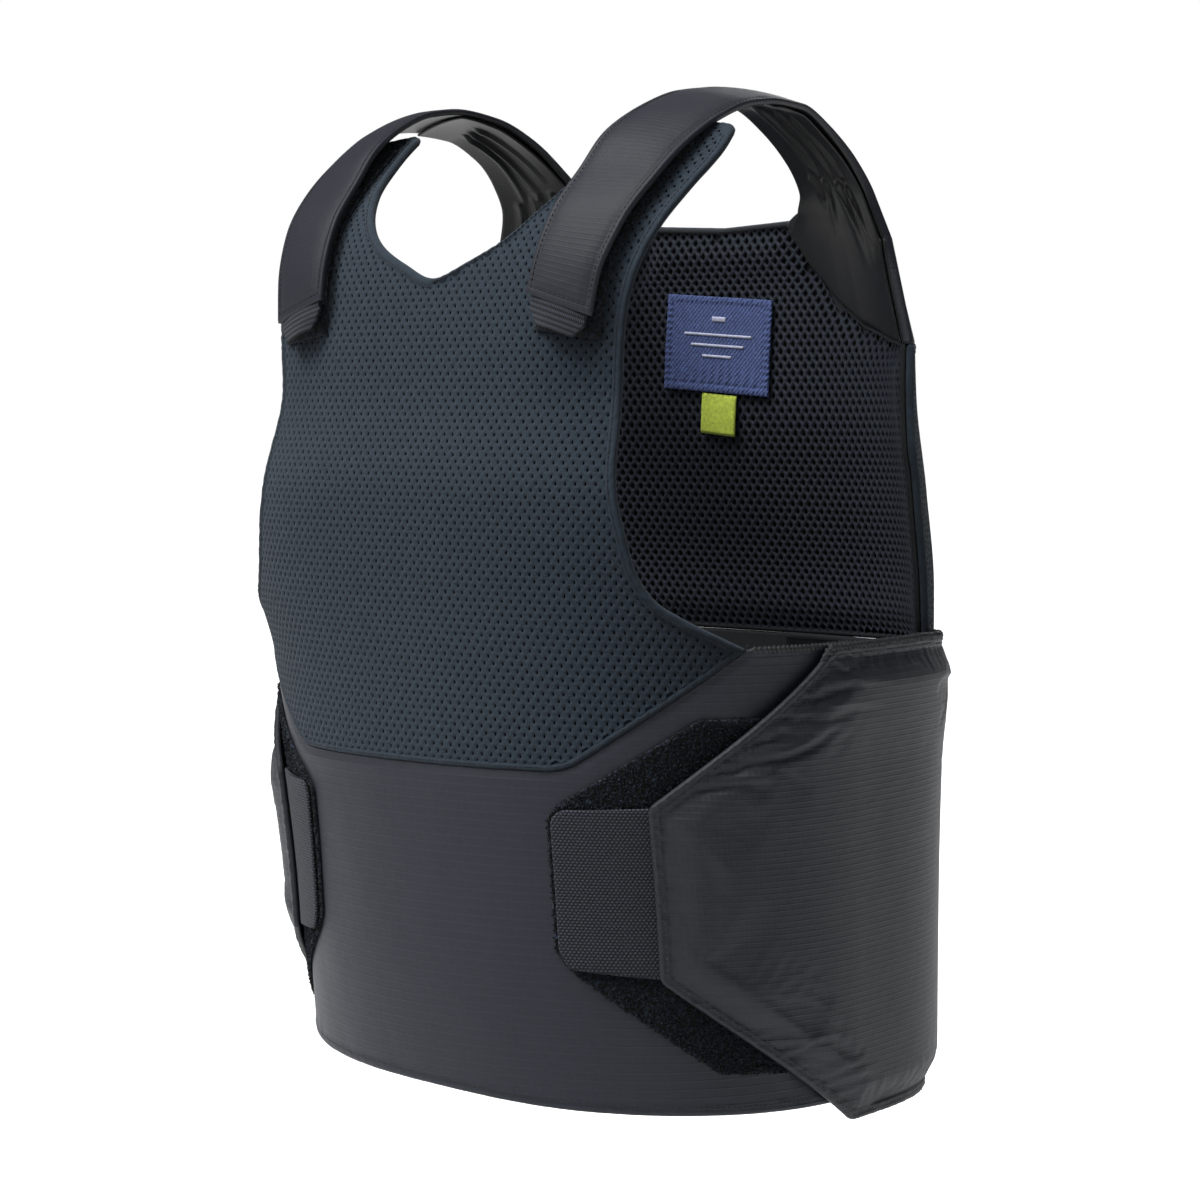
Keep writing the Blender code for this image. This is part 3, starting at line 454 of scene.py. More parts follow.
class Nodes:
    """Short calls for one material's node tree."""

    def __init__(self, name):
        self.material = bpy.data.materials.new(name)
        self.material.use_nodes = True
        self.tree = self.material.node_tree
        self.shader = self.tree.nodes["Principled BSDF"]

    def add(self, kind, **values):
        node = self.tree.nodes.new(kind)
        for key, value in values.items():
            setattr(node, key, value)
        return node

    def link(self, value, socket):
        if isinstance(value, bpy.types.NodeSocket):
            self.tree.links.new(value, socket)
        else:
            socket.default_value = value

    def math(self, operation, a, b=0.0, c=0.0):
        node = self.add("ShaderNodeMath", operation=operation)
        for value, socket in zip((a, b, c), node.inputs):
            self.link(value, socket)
        return node.outputs[0]

    def cloth(self):
        """Metres across and up the cloth, from the piece's own UV map."""
        split = self.add("ShaderNodeSeparateXYZ")
        self.link(self.add("ShaderNodeUVMap", uv_map="cloth").outputs[0], split.inputs[0])
        return split.outputs[0], split.outputs[1]

    def noise(self, scale, detail=2.0):
        """Noise on object coordinates, features per metre."""
        node = self.add("ShaderNodeTexNoise")
        self.link(self.add("ShaderNodeTexCoord").outputs["Object"], node.inputs["Vector"])
        node.inputs["Scale"].default_value = scale
        node.inputs["Detail"].default_value = detail
        return node.outputs[0]

    def wave(self, along, length):
        """Sine wave of a given length."""
        return self.math("SINE", self.math("MULTIPLY", along, tau / length))

    def lines(self, along, pitch, width):
        """1 on thin lines at every pitch, 0 between them."""
        cell = self.math("PINGPONG", along, pitch / 2.0)
        node = self.add("ShaderNodeMapRange", interpolation_type="SMOOTHSTEP")
        self.link(cell, node.inputs["Value"])
        node.inputs["From Min"].default_value = width
        node.inputs["From Max"].default_value = 0.0
        return node.outputs[0]

    def ramp(self, value, dark, light, low=0.0, high=1.0):
        """Colour between two, by value."""
        node = self.add("ShaderNodeMapRange")
        self.link(value, node.inputs["Value"])
        node.inputs["From Min"].default_value = low
        node.inputs["From Max"].default_value = high
        mix = self.add("ShaderNodeMix", data_type="RGBA")
        self.link(node.outputs[0], mix.inputs[0])
        for end, socket in ((dark, mix.inputs[6]), (light, mix.inputs[7])):
            self.link(end if isinstance(end, bpy.types.NodeSocket) else (*end, 1.0), socket)
        return mix.outputs[2]

    def bump(self, height, depth, normal=None):
        node = self.add("ShaderNodeBump")
        node.inputs["Strength"].default_value = 1.0
        node.inputs["Distance"].default_value = depth
        self.link(height, node.inputs["Height"])
        if normal is not None:
            self.link(normal, node.inputs["Normal"])
        return node.outputs[0]

    def finish(self, colour, roughness, normal=None, sheen=0.0, specular=0.5):
        self.link(colour, self.shader.inputs["Base Color"])
        self.link(roughness, self.shader.inputs["Roughness"])
        self.shader.inputs["Sheen Weight"].default_value = sheen
        self.shader.inputs["Sheen Roughness"].default_value = 0.5
        self.shader.inputs["Specular IOR Level"].default_value = specular
        if normal is not None:
            self.link(normal, self.shader.inputs["Normal"])
        return self.material


def shade(colour, factor):
    return tuple(min(1.0, c * factor) for c in colour)


def mesh_cloth_material(name, colour):
    """Knitted mesh cloth: fine yarn, slightly uneven colour."""
    n = Nodes(name)
    u, v = n.cloth()
    knit = n.math("MULTIPLY", n.wave(u, 0.0011), n.wave(v, 0.0009))
    yarn = n.noise(1400.0, 2.0)
    height = n.math("MULTIPLY_ADD", knit, 0.5, yarn)
    mottled = n.ramp(n.noise(260.0, 3.0), shade(colour, 0.80), shade(colour, 1.20), 0.3, 0.7)
    wide = n.ramp(n.noise(14.0, 2.0), mottled, shade(colour, 1.12), 0.2, 1.4)
    return n.finish(wide, 0.9, n.bump(height, 0.00016), sheen=0.12, specular=0.25)


def ripstop_material(name, colour, pitch_u, pitch_v, line_u, line_v, thread_light):
    """Ripstop weave: thin raised threads in a grid, stronger one way."""
    n = Nodes(name)
    u, v = n.cloth()
    across = n.lines(v, pitch_v, 0.0007)
    down = n.lines(u, pitch_u, 0.0006)
    threads = n.math("ADD", n.math("MULTIPLY", across, line_v), n.math("MULTIPLY", down, line_u))
    weave = n.math("MULTIPLY", n.wave(u, 0.0008), n.wave(v, 0.0008))
    height = n.math("MULTIPLY_ADD", weave, 0.16, threads)
    base = n.ramp(n.noise(420.0, 2.0), shade(colour, 0.88), shade(colour, 1.12), 0.3, 0.7)
    wide = n.ramp(n.noise(9.0, 2.0), base, shade(colour, 1.10), 0.35, 1.3)
    lit = n.ramp(threads, wide, shade(colour, thread_light), 0.0, 1.0)
    fine = n.bump(height, 0.00016)
    return n.finish(lit, 0.55, n.bump(n.noise(55.0, 3.0), 0.0006, fine), sheen=0.04, specular=0.34)


def plain_cloth_material(name, colour, roughness, grain, specular):
    """Close woven cloth with a fine grain."""
    n = Nodes(name)
    base = n.ramp(n.noise(grain / 3.0, 2.0), shade(colour, 0.84), shade(colour, 1.16), 0.3, 0.7)
    return n.finish(base, roughness, n.bump(n.noise(grain, 2.0), 0.00012), sheen=0.04, specular=specular)


def webbing_material(name, colour, pitch_u, pitch_v):
    """Ribbed webbing: staggered short ribs, darker between them as painted shade and lighter on their tops as
    painted highlight.
    """
    n = Nodes(name)
    u, v = n.cloth()
    row = n.math("FLOOR", n.math("DIVIDE", v, pitch_v))
    moved = n.math("MULTIPLY_ADD", row, pitch_u / 2.0, u)
    rib = n.math("PINGPONG", moved, pitch_u / 2.0)
    rib = n.math("DIVIDE", rib, pitch_u / 2.0)
    course = n.math("DIVIDE", n.math("PINGPONG", v, pitch_v / 2.0), pitch_v / 2.0)
    height = n.math("MULTIPLY", n.math("POWER", rib, 0.6), n.math("POWER", course, 0.5))
    # Colour follows rib height: painted shade in the hollows between ribs, painted highlight on their tops
    base = n.ramp(height, shade(colour, 0.12), shade(colour, 2.1), 0.25, 0.9)
    return n.finish(base, 0.8, n.bump(height, 0.0006), sheen=0.08, specular=0.3)


def pile_material(name, colour):
    """Loop pile: near black, speckled where loops catch light."""
    n = Nodes(name)
    base = n.ramp(n.noise(520.0, 4.0), shade(colour, 0.08), shade(colour, 9.0), 0.46, 0.70)
    return n.finish(base, 0.92, n.bump(n.noise(600.0, 4.0), 0.0012), sheen=0.10, specular=0.25)


def thread_material(name, colour):
    """Twisted thread, slightly glossy."""
    n = Nodes(name)
    base = n.ramp(n.noise(210.0, 1.0), shade(colour, 0.15), shade(colour, 1.5), 0.45, 0.62)
    return n.finish(base, 0.55, None, specular=0.45)


def label_material(name, colour):
    """Woven label cloth: fine diagonal twill over a soft quilting, paler where it is rubbed."""
    n = Nodes(name)
    u, v = n.cloth()
    twill = n.wave(n.math("ADD", u, n.math("MULTIPLY", v, 1.7)), 0.0009)
    ribs = n.math("MULTIPLY", n.wave(u, 0.0030), n.wave(v, 0.0034))
    base = n.ramp(n.noise(500.0, 3.0), shade(colour, 0.78), shade(colour, 1.30), 0.3, 0.7)
    worn = n.ramp(n.noise(45.0, 3.0), base, shade(colour, 1.5), 0.45, 1.15)
    return n.finish(worn, 0.6, n.bump(ribs, 0.0003, n.bump(twill, 0.0001)), sheen=0.08, specular=0.35)


def floor_material(name, dark, light):
    """Pale matt floor, a little bright by itself so that it meets the backdrop without a line."""
    n = Nodes(name)
    tone = n.ramp(n.noise(0.6, 2.0), dark, light)
    n.shader.inputs["Emission Color"].default_value = (1.0, 1.0, 1.0, 1.0)
    n.shader.inputs["Emission Strength"].default_value = 0.60
    return n.finish(tone, 0.9, None, specular=0.0)


# Each finish: its maker, its colour as a property's name or in itself, and the maker's other values
FINISHES = {
    "mesh_cloth": (mesh_cloth_material, "mesh_cloth"),
    "panel_ripstop": (ripstop_material, "ripstop", 0.0050, 0.0050, 0.12, 0.55, 1.5),
    "strap_ripstop": (ripstop_material, "strap", 0.0034, 0.0033, 0.25, 0.42, 1.45),
    "wing_ripstop": (ripstop_material, "wing", 0.0031, 0.0034, 0.40, 0.60, 1.45),
    "spacer_mesh": (plain_cloth_material, "spacer", 0.85, 1500.0, 0.3),
    "hole_shadow": (plain_cloth_material, (0.0035, 0.0042, 0.0052), 0.95, 1500.0, 0.1),
    "net_shadow": (plain_cloth_material, (0.0016, 0.0020, 0.0025), 0.95, 1500.0, 0.1),
    "edging": (plain_cloth_material, "edging", 0.6, 1300.0, 0.4),
    "binding": (plain_cloth_material, "binding", 0.8, 1300.0, 0.3),
    "dark_lining": (plain_cloth_material, "lining", 0.42, 700.0, 0.32),
    "band_cloth": (plain_cloth_material, "binding", 0.75, 900.0, 0.3),
    "elastic": (webbing_material, "webbing", 0.0024, 0.0017),
    "tip_webbing": (webbing_material, "webbing", 0.0012, 0.0030),
    "loop_pile": (pile_material, "pile"),
    "thread": (thread_material, "thread"),
    "bright_thread": (thread_material, "bright_thread"),
    "label_cloth": (label_material, "label"),
    "label_thread": (plain_cloth_material, (0.50, 0.52, 0.66), 0.6, 1500.0, 0.35),
    "tag_cloth": (plain_cloth_material, "tag", 0.7, 1500.0, 0.3),
    "studio_floor": (floor_material, (0.82, 0.82, 0.82), (0.86, 0.86, 0.86)),
}


# Geometry Nodes

def tree_of(name, inputs):
    """Empty geometry tree with named inputs, its group input and its output."""
    tree = bpy.data.node_groups.new(name, "GeometryNodeTree")
    tree.interface.new_socket("Geometry", in_out="INPUT", socket_type="NodeSocketGeometry")
    for label, kind, default in inputs:
        socket = tree.interface.new_socket(label, in_out="INPUT", socket_type="NodeSocket" + kind)
        if default is not None:
            socket.default_value = default
    tree.interface.new_socket("Geometry", in_out="OUTPUT", socket_type="NodeSocketGeometry")
    return tree, tree.nodes.new("NodeGroupInput"), tree.nodes.new("NodeGroupOutput")


def put(tree, kind, inputs=(), **values):
    """Adds a node, sets its properties and fills its sockets by name or number."""
    node = tree.nodes.new(kind)
    for key, value in values.items():
        setattr(node, key, value)
    for key, value in dict(inputs).items():
        if isinstance(value, bpy.types.NodeSocket):
            tree.links.new(value, node.inputs[key])
        else:
            node.inputs[key].default_value = value
    return node


def run_tree(piece, tree, values):
    """Applies a geometry tree to a piece with the given inputs, and leaves a plain mesh."""
    modifier = piece.modifiers.new(tree.name, "NODES")
    modifier.node_group = tree
    names = {s.name: s.identifier for s in tree.interface.items_tree if s.in_out == "INPUT"}
    for label, value in values.items():
        modifier[names[label]] = value
    graph = bpy.context.evaluated_depsgraph_get()
    mesh = bpy.data.meshes.new_from_object(piece.evaluated_get(graph), depsgraph=graph)
    piece.modifiers.clear()
    old = piece.data
    piece.data = mesh
    bpy.data.meshes.remove(old)
    return piece


def perforation_tree():
    """Sinks a hole in every face of a net of cells: a slope to its lip, a rounded lip, and a dark bottom."""
    tree, given, made = tree_of("Perforations", (
        ("Lip Scale", "Float", 0.3), ("Stretch", "Float", 1.6), ("Slope", "Float", 0.0002),
        ("Hole Scale", "Float", 0.8), ("Lip Depth", "Float", 0.0003), ("Depth", "Float", 0.001),
        ("Cloth", "Material", None), ("Shadow", "Material", None)))
    given = given.outputs

    def minus(socket):
        return put(tree, "ShaderNodeMath", {0: socket, 1: -1.0}, operation="MULTIPLY").outputs[0]

    one = put(tree, "GeometryNodeExtrudeMesh", {
        "Mesh": given["Geometry"], "Offset Scale": 0.0, "Individual": True})
    wide = put(tree, "GeometryNodeScaleElements", {
        "Geometry": one.outputs["Mesh"], "Selection": one.outputs["Top"], "Scale": given["Lip Scale"]})
    tall = put(tree, "GeometryNodeScaleElements", {
        "Geometry": wide.outputs[0], "Selection": one.outputs["Top"], "Scale": given["Stretch"],
        "Axis": (0.0, 0.0, 1.0)}, scale_mode="SINGLE_AXIS")
    normal = put(tree, "GeometryNodeInputNormal")
    sink = put(tree, "ShaderNodeVectorMath", {0: normal.outputs[0], "Scale": minus(given["Slope"])},
               operation="SCALE")
    moved = put(tree, "GeometryNodeSetPosition", {
        "Geometry": tall.outputs[0], "Selection": one.outputs["Top"], "Offset": sink.outputs[0]})
    two = put(tree, "GeometryNodeExtrudeMesh", {
        "Mesh": moved.outputs[0], "Selection": one.outputs["Top"], "Offset Scale": minus(given["Lip Depth"]),
        "Individual": True})
    lip = put(tree, "GeometryNodeScaleElements", {
        "Geometry": two.outputs["Mesh"], "Selection": two.outputs["Top"], "Scale": given["Hole Scale"]})
    three = put(tree, "GeometryNodeExtrudeMesh", {
        "Mesh": lip.outputs[0], "Selection": two.outputs["Top"], "Offset Scale": minus(given["Depth"]),
        "Individual": True})
    real = put(tree, "GeometryNodeRealizeInstances", {"Geometry": three.outputs["Mesh"]})
    cloth = put(tree, "GeometryNodeSetMaterial", {"Geometry": real.outputs[0], "Material": given["Cloth"]})
    dark = put(tree, "GeometryNodeSetMaterial", {
        "Geometry": cloth.outputs[0], "Selection": three.outputs["Top"], "Material": given["Shadow"]})
    smooth = put(tree, "GeometryNodeSetShadeSmooth", {"Geometry": dark.outputs[0]})
    tree.links.new(smooth.outputs[0], made.inputs[0])
    return tree


def stitch_tree():
    """Lays short rounded stitches at even steps along every line of the input."""
    tree, given, made = tree_of("Stitches", (
        ("Pitch", "Float", 0.0033), ("Length", "Float", 0.0024), ("Thickness", "Float", 0.0005),
        ("Thread", "Material", None)))
    given = given.outputs
    line = put(tree, "GeometryNodeMeshToCurve", {"Mesh": given["Geometry"]})
    even = put(tree, "GeometryNodeResampleCurve", {"Curve": line.outputs[0], "Length": given["Pitch"]},
               mode="LENGTH")
    ball = put(tree, "GeometryNodeMeshUVSphere", {"Segments": 5, "Rings": 3, "Radius": 0.5})
    size = put(tree, "ShaderNodeCombineXYZ", {
        0: given["Thickness"], 1: given["Thickness"], 2: given["Length"]})
    shaped = put(tree, "GeometryNodeTransform", {"Geometry": ball.outputs[0], "Scale": size.outputs[0]})
    along = put(tree, "GeometryNodeInputTangent")
    turn = put(tree, "FunctionNodeAlignRotationToVector", {"Vector": along.outputs[0]}, axis="Z")
    many = put(tree, "GeometryNodeInstanceOnPoints", {
        "Points": even.outputs[0], "Instance": shaped.outputs[0], "Rotation": turn.outputs[0]})
    real = put(tree, "GeometryNodeRealizeInstances", {"Geometry": many.outputs[0]})
    smooth = put(tree, "GeometryNodeSetShadeSmooth", {"Geometry": real.outputs[0]})
    done = put(tree, "GeometryNodeSetMaterial", {"Geometry": smooth.outputs[0], "Material": given["Thread"]})
    tree.links.new(done.outputs[0], made.inputs[0])
    return tree


def pile_tree():
    """Scatters short leaning tufts over a skin."""
    tree, given, made = tree_of("Pile", (
        ("Density", "Float", 400000.0), ("Tuft Height", "Float", 0.0011), ("Tuft Radius", "Float", 0.0004),
        ("Seed", "Int", 7), ("Pile", "Material", None)))
    given = given.outputs
    spread = put(tree, "GeometryNodeDistributePointsOnFaces", {
        "Mesh": given["Geometry"], "Density": given["Density"], "Seed": given["Seed"]})
    tuft = put(tree, "GeometryNodeMeshCone", {
        "Vertices": 3, "Radius Top": 0.0, "Radius Bottom": given["Tuft Radius"],
        "Depth": given["Tuft Height"]}, fill_type="NONE")
    lean = put(tree, "FunctionNodeRandomValue", {
        0: (-0.9, -0.9, -3.1), 1: (0.9, 0.9, 3.1), "Seed": given["Seed"]}, data_type="FLOAT_VECTOR")
    turn = put(tree, "FunctionNodeEulerToRotation", {0: lean.outputs[0]})
    both = put(tree, "FunctionNodeRotateRotation", {0: spread.outputs["Rotation"], 1: turn.outputs[0]},
               rotation_space="LOCAL")
    size = put(tree, "FunctionNodeRandomValue", {2: 0.6, 3: 1.25, "Seed": given["Seed"]}, data_type="FLOAT")
    many = put(tree, "GeometryNodeInstanceOnPoints", {
        "Points": spread.outputs["Points"], "Instance": tuft.outputs[0], "Rotation": both.outputs[0],
        "Scale": size.outputs[1]})
    real = put(tree, "GeometryNodeRealizeInstances", {"Geometry": many.outputs[0]})
    done = put(tree, "GeometryNodeSetMaterial", {"Geometry": real.outputs[0], "Material": given["Pile"]})
    tree.links.new(done.outputs[0], made.inputs[0])
    return tree


# What the operators share

FINISH = {}
TREES = {}
STITCH_LINES = {"plain": [], "bright": []}


def finish_of(name):
    """The named finish, made on first use from the scene's colours."""
    if name not in FINISH:
        make, tint, *values = FINISHES[name]
        if isinstance(tint, str):
            tint = getattr(bpy.context.scene.vest_colours, tint)[:]
        FINISH[name] = make(name, tint, *values)
    return FINISH[name]


def dress(piece, finish, nodes=()):
    """Gives a piece its finish and its body, and hides the imported parts that it stands for."""
    if finish:
        piece.data.materials.clear()
        piece.data.materials.append(finish_of(finish))
    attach(piece, BODY)
    if nodes:
        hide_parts(*nodes)
    return piece


def sew(points, thread="plain"):
    """Remembers a line of points on the cloth that stitches follow."""
    STITCH_LINES[thread].append(np.asarray(points, float))


def rounded_drop(d, radius):
    """How far a folded edge falls away, d from its rim."""
    near = np.clip(d, 0.0, radius)
    return radius - np.sqrt(np.maximum(radius ** 2 - (radius - near) ** 2, 0.0))


def hem_profile(flat, d, width, rise, radius=0.0018, sunk=0.0, groove=0.00045):
    """Height of the outer face, d from a folded edge: puckered fold, sewn groove, step down to the cloth."""
    step = ease((d - width) / 0.0008)
    pucker = 1.0 + 0.7 * noise_folds(flat, 21, 0.006)
    sewn = groove * np.exp(-((d - 0.78 * width) / 0.0007) ** 2)
    return rise * pucker * (1.0 - step) - sunk * step - sewn - rounded_drop(d, radius)


BACK_RINGS = (0.0006, 0.0018, 0.0060, 0.0120)
BACK_SPACING = 0.0150


def panel_back(outline, drape):
    """Hidden inner skin of a padded panel: its cloth and its points, tapering towards the rim."""
    cloth = cut_cloth(outline, BACK_RINGS, BACK_SPACING)
    d = distance(cloth[0], outline)
    return cloth, drape.place(cloth[0], -panel_depth(d) + rounded_drop(d, 0.0018))


def noise_folds(flat, seed, wavelength, octaves=2):
    """Soft undulation between -1 and 1 over flat cloth coordinates."""
    random = np.random.default_rng(seed)
    total = np.zeros(len(flat))
    for octave in range(octaves):
        for _ in range(6):
            angle = random.uniform(0.0, tau)
            length = wavelength * random.uniform(0.7, 1.5) / (2.0 ** octave)
            phase = random.uniform(0.0, tau)
            along = flat[:, 0] * cos(angle) + flat[:, 1] * sin(angle)
            total += np.sin(along * tau / length + phase) / (2.0 ** octave)
    return total / 6.0


def creases(flat, groups, seed):
    """Height of creases that start on short lines and run off at given angles, fading along their length."""
    random = np.random.default_rng(seed)
    total = np.zeros(len(flat))
    for start, end, count, (low, high), (short, long), wide, height in groups:
        start, end = np.asarray(start), np.asarray(end)
        for i in range(count):
            at = start + (end - start) * (i + random.uniform(0.1, 0.9)) / count
            angle = radians(random.uniform(low, high))
            along = np.array((cos(angle), sin(angle)))
            length = random.uniform(short, long)
            width = wide * random.uniform(0.7, 1.4)
            bend = random.uniform(-0.18, 0.18) / length
            a = (flat - at) @ along
            b = (flat - at) @ np.array((-along[1], along[0])) + bend * a ** 2
            share = np.clip(a / length, 0.0, 1.0)
            rise = height * random.uniform(0.6, 1.2)
            fold = np.exp(-(b / width) ** 2) - 0.7 * np.exp(-((b + 2.0 * width) / (1.2 * width)) ** 2)
            total += rise * ease(a / (0.12 * length)) * (1.0 - share) ** 0.7 * fold
    return total


def hex_cells(low, high, pitch, row, tall):
    """Six-sided cells in staggered rows over a flat box: corner points and faces."""
    half = pitch / 2.0
    shoulder = row - tall
    corner = ((0.0, tall), (-half, shoulder), (-half, -shoulder),
              (0.0, -tall), (half, -shoulder), (half, shoulder))
    rows = np.arange(low[1], high[1], row)
    columns = np.arange(low[0], high[0], pitch)
    centres = np.array([(x + (r % 2) * half, y) for r, y in enumerate(rows) for x in columns])
    corners = centres[:, None, :] + np.array(corner)[None]
    keys = np.round(corners.reshape(-1, 2) / 1e-6).astype(np.int64)
    _, first, index = np.unique(keys, axis=0, return_index=True, return_inverse=True)
    return corners.reshape(-1, 2)[first], index.reshape(-1, 6)


def used_cells(points, faces):
    """The faces, and only the points that they use."""
    used = np.unique(faces)
    number = np.full(len(points), -1)
    number[used] = np.arange(len(used))
    return points[used], number[faces]


def perforated(name, outline, drape, margin, level, cells, values, cloth, shadow, flip=False):
    """Net of cells with a hole in each, their middles a margin inside an outline.

    Its height is level(distance from the outline)."""
    points, faces = hex_cells(outline.min(0), outline.max(0), *cells)
    points, faces = used_cells(points, faces[inside(points, outline)[faces].all(1)])
    points, faces = used_cells(points, faces[distance(points[faces].mean(1), outline) > margin])
    placed = drape.place(points, level(distance(points, outline)))
    if flip:
        faces = faces[:, ::-1]
    piece = new_piece(name, placed, faces, points, outward=False)
    return run_tree(piece, TREES["perforations"], {
        **values, "Cloth": finish_of(cloth), "Shadow": finish_of(shadow)})


CLOTH_FRAMES = 16


def billow(name, points, triangles, pinned, grow, pressure, cap, normals):
    """Simulates a pinned skin whose cloth is a little larger than its place, and returns where it settles."""
    piece = new_piece(name, points, triangles, outward=False)
    group = piece.vertex_groups.new(name="sewn")
    group.add([int(i) for i in np.flatnonzero(pinned)], 1.0, "REPLACE")
    cloth = piece.modifiers.new("Cloth", "CLOTH")
    rules = cloth.settings
    rules.quality = 5
    rules.vertex_group_mass = "sewn"
    rules.pin_stiffness = 1.0
    rules.shrink_min = -grow
    rules.tension_stiffness = 15.0
    rules.compression_stiffness = 15.0
    rules.bending_stiffness = 0.05
    rules.mass = 0.15
    rules.use_pressure = True
    rules.uniform_pressure_force = pressure
    rules.effector_weights.gravity = 0.0
    cloth.collision_settings.use_collision = False
    cloth.point_cache.frame_start = 1
    cloth.point_cache.frame_end = CLOTH_FRAMES
    scene = bpy.context.scene
    for step in range(1, CLOTH_FRAMES + 1):
        scene.frame_set(step)
    graph = bpy.context.evaluated_depsgraph_get()
    settled = np.empty(len(points) * 3, np.float32)
    piece.evaluated_get(graph).data.vertices.foreach_get("co", settled)
    scene.frame_set(1)
    mesh = piece.data
    bpy.data.objects.remove(piece)
    bpy.data.meshes.remove(mesh)
    settled = settled.reshape(-1, 3).astype(float)
    move = settled - points
    raised = np.clip((move * normals).sum(1), -cap * 0.4, cap)
    slide = move - (move * normals).sum(1)[:, None] * normals
    slide *= np.minimum(1.0, cap / np.maximum(np.linalg.norm(slide, axis=1), 1e-9))[:, None]
    return points + normals * raised[:, None] + 0.6 * slide


def facing(normals, at, way):
    """The normals, turned round if the one at a place points against a direction."""
    return -normals if normals[at] @ np.asarray(way, float) < 0.0 else normals


def turned(x, y, angle):
    """Flat coordinates turned clockwise by an angle."""
    return x * cos(angle) + y * sin(angle), y * cos(angle) - x * sin(angle)


# Outlines, as flat cloth coordinates

EDGE_STEP = 0.0022
TAB_ROUND = 0.009
SEAM_ROUND = 0.012


def neck_path():
    """Neck edge from the centre to the wearer's left shoulder tab, level where it crosses the centre."""
    neck = np.array(NECK_EDGE)
    flat = FRONT.flat(neck[:, 0], neck[:, 1])
    whole = np.concatenate((flat[:0:-1] * (-1.0, 1.0), flat))
    path = rounded_path(whole, EDGE_STEP / 4.0)
    half = path[path[:, 0] >= 0.0]
    half[0, 0] = 0.0
    return half[::4]


def armhole_path():
    """Armhole edge of the front from the seam up, on the wearer's left."""
    arm = np.array(ARMHOLE_EDGE)
    return rounded_path(FRONT.flat(arm[:, 0], arm[:, 1]), EDGE_STEP)


def front_upper_outline():
    """Seam, armhole, rounded shoulder tab and neckline of the front, anticlockwise from the centre."""
    arm = armhole_path()
    neck = neck_path()
    tab = cut_corners(np.array([arm[-8], arm[-1], neck[-1], neck[-8]]), 0.0, {1: TAB_ROUND, 2: TAB_ROUND})
    tab = straight_path(tab, EDGE_STEP)
    left = np.concatenate((arm[:-8], tab, neck[-9:0:-1]))
    seam = FRONT.flat([0.0, SEAM_CORNER_S, SIDE_S], [SEAM_Z, SEAM_Z, SIDE_TOP_Z])
    seam = straight_path(cut_corners(seam, 0.0, {1: SEAM_ROUND}), EDGE_STEP)
    half = np.concatenate((seam[:-1], left, neck[:1]))
    mirrored = half[::-1] * (-1.0, 1.0)
    return np.concatenate((half[:-1], mirrored[:-1]))


def seam_line(lift=0.0, step=EDGE_STEP):
    """The seam between mesh and ripstop across the front, raised by lift along the cloth."""
    points = FRONT.flat([-SIDE_S, -SEAM_CORNER_S, SEAM_CORNER_S, SIDE_S],
                        [SIDE_TOP_Z, SEAM_Z, SEAM_Z, SIDE_TOP_Z])
    points = cut_corners(points, 0.0, {1: SEAM_ROUND, 2: SEAM_ROUND})
    return straight_path(points, step) + (0.0, lift)


def front_lower_outline():
    """Hem, sides and upper edge of the ripstop part of the front."""
    hem_s = np.linspace(-FRONT_SIDE_S, FRONT_SIDE_S, 260)
    hem = np.array(HEM)
    bottom = FRONT.flat(hem_s, monotone(hem[:, 0], hem[:, 1], hem_s))
    top = FRONT.flat([FRONT_SIDE_S, SIDE_S, -SIDE_S, -FRONT_SIDE_S], [SIDE_TOP_Z] * 4)
    right = straight_path(np.array([bottom[-1], top[0], top[1]]), EDGE_STEP)
    left = straight_path(np.array([top[2], top[3], bottom[0]]), EDGE_STEP)
    return np.concatenate((bottom[:-1], right[:-1], seam_line()[::-1][:-1], left[:-1]))


def back_side(z):
    """Distance round from the centre back to the armhole edge."""
    table = np.array(BACK_ARMHOLE)
    return half_girth(z) - monotone(table[:, 0], table[:, 1], z)


def length_at_x(x, z):
    """Distance round from the centre back at which the back lies x from the centre line."""
    low, high = 0.5 * half_girth(z), half_girth(z)
    for _ in range(30):
        mid = 0.5 * (low + high)
        further = on_section(mid, z)[..., 0] > x
        low = np.where(further, mid, low)
        high = np.where(further, high, mid)
    return half_girth(z) - 0.5 * (low + high)


def back_upper_outline():
    """Lower seam, armholes, shoulder seams and neck of the back, as distance from the centre back."""
    z = np.linspace(BACK_SEAM_Z + BACK_SEAM_RISE, SHOULDER_SEAM[-1][1], 100)
    arm = BACK.flat(back_side(z), z)
    x = np.linspace(SEAM_X_OUTER, 0.0, 110)
    table = np.array(SHOULDER_SEAM)
    top_z = np.interp(x, table[:, 0], table[:, 1])
    top = BACK.flat(length_at_x(x, top_z), top_z)
    u = np.linspace(0.0, 1.0, 70)
    low_z = BACK_SEAM_Z + BACK_SEAM_RISE * u ** 4
    low = BACK.flat(u * back_side(low_z), low_z)
    half = np.concatenate((low[:-1], arm[:-1], rounded_path(top, EDGE_STEP)))
    return np.concatenate((half[:-1], (half[::-1] * (-1.0, 1.0))[:-1]))


def back_lower_outline():
    """Hem, sides and upper seam of the lower back."""
    side = BACK_SIDE_AWAY
    u = np.linspace(1.0, -1.0, 200)
    top = BACK.flat(u * side, BACK_SEAM_Z + BACK_SEAM_RISE * u ** 4 - 0.0003)
    corners = [top[-1], BACK.flat(-side, BACK_HEM_Z), BACK.flat(side, BACK_HEM_Z), top[0]]
    return np.concatenate((top[:-1], straight_path(np.array(corners), 0.003)[:-1]))


def panel_depth(d):
    return PANEL_EDGE_THICK + (PANEL_THICK - PANEL_EDGE_THICK) * ease(d / PANEL_TAPER)


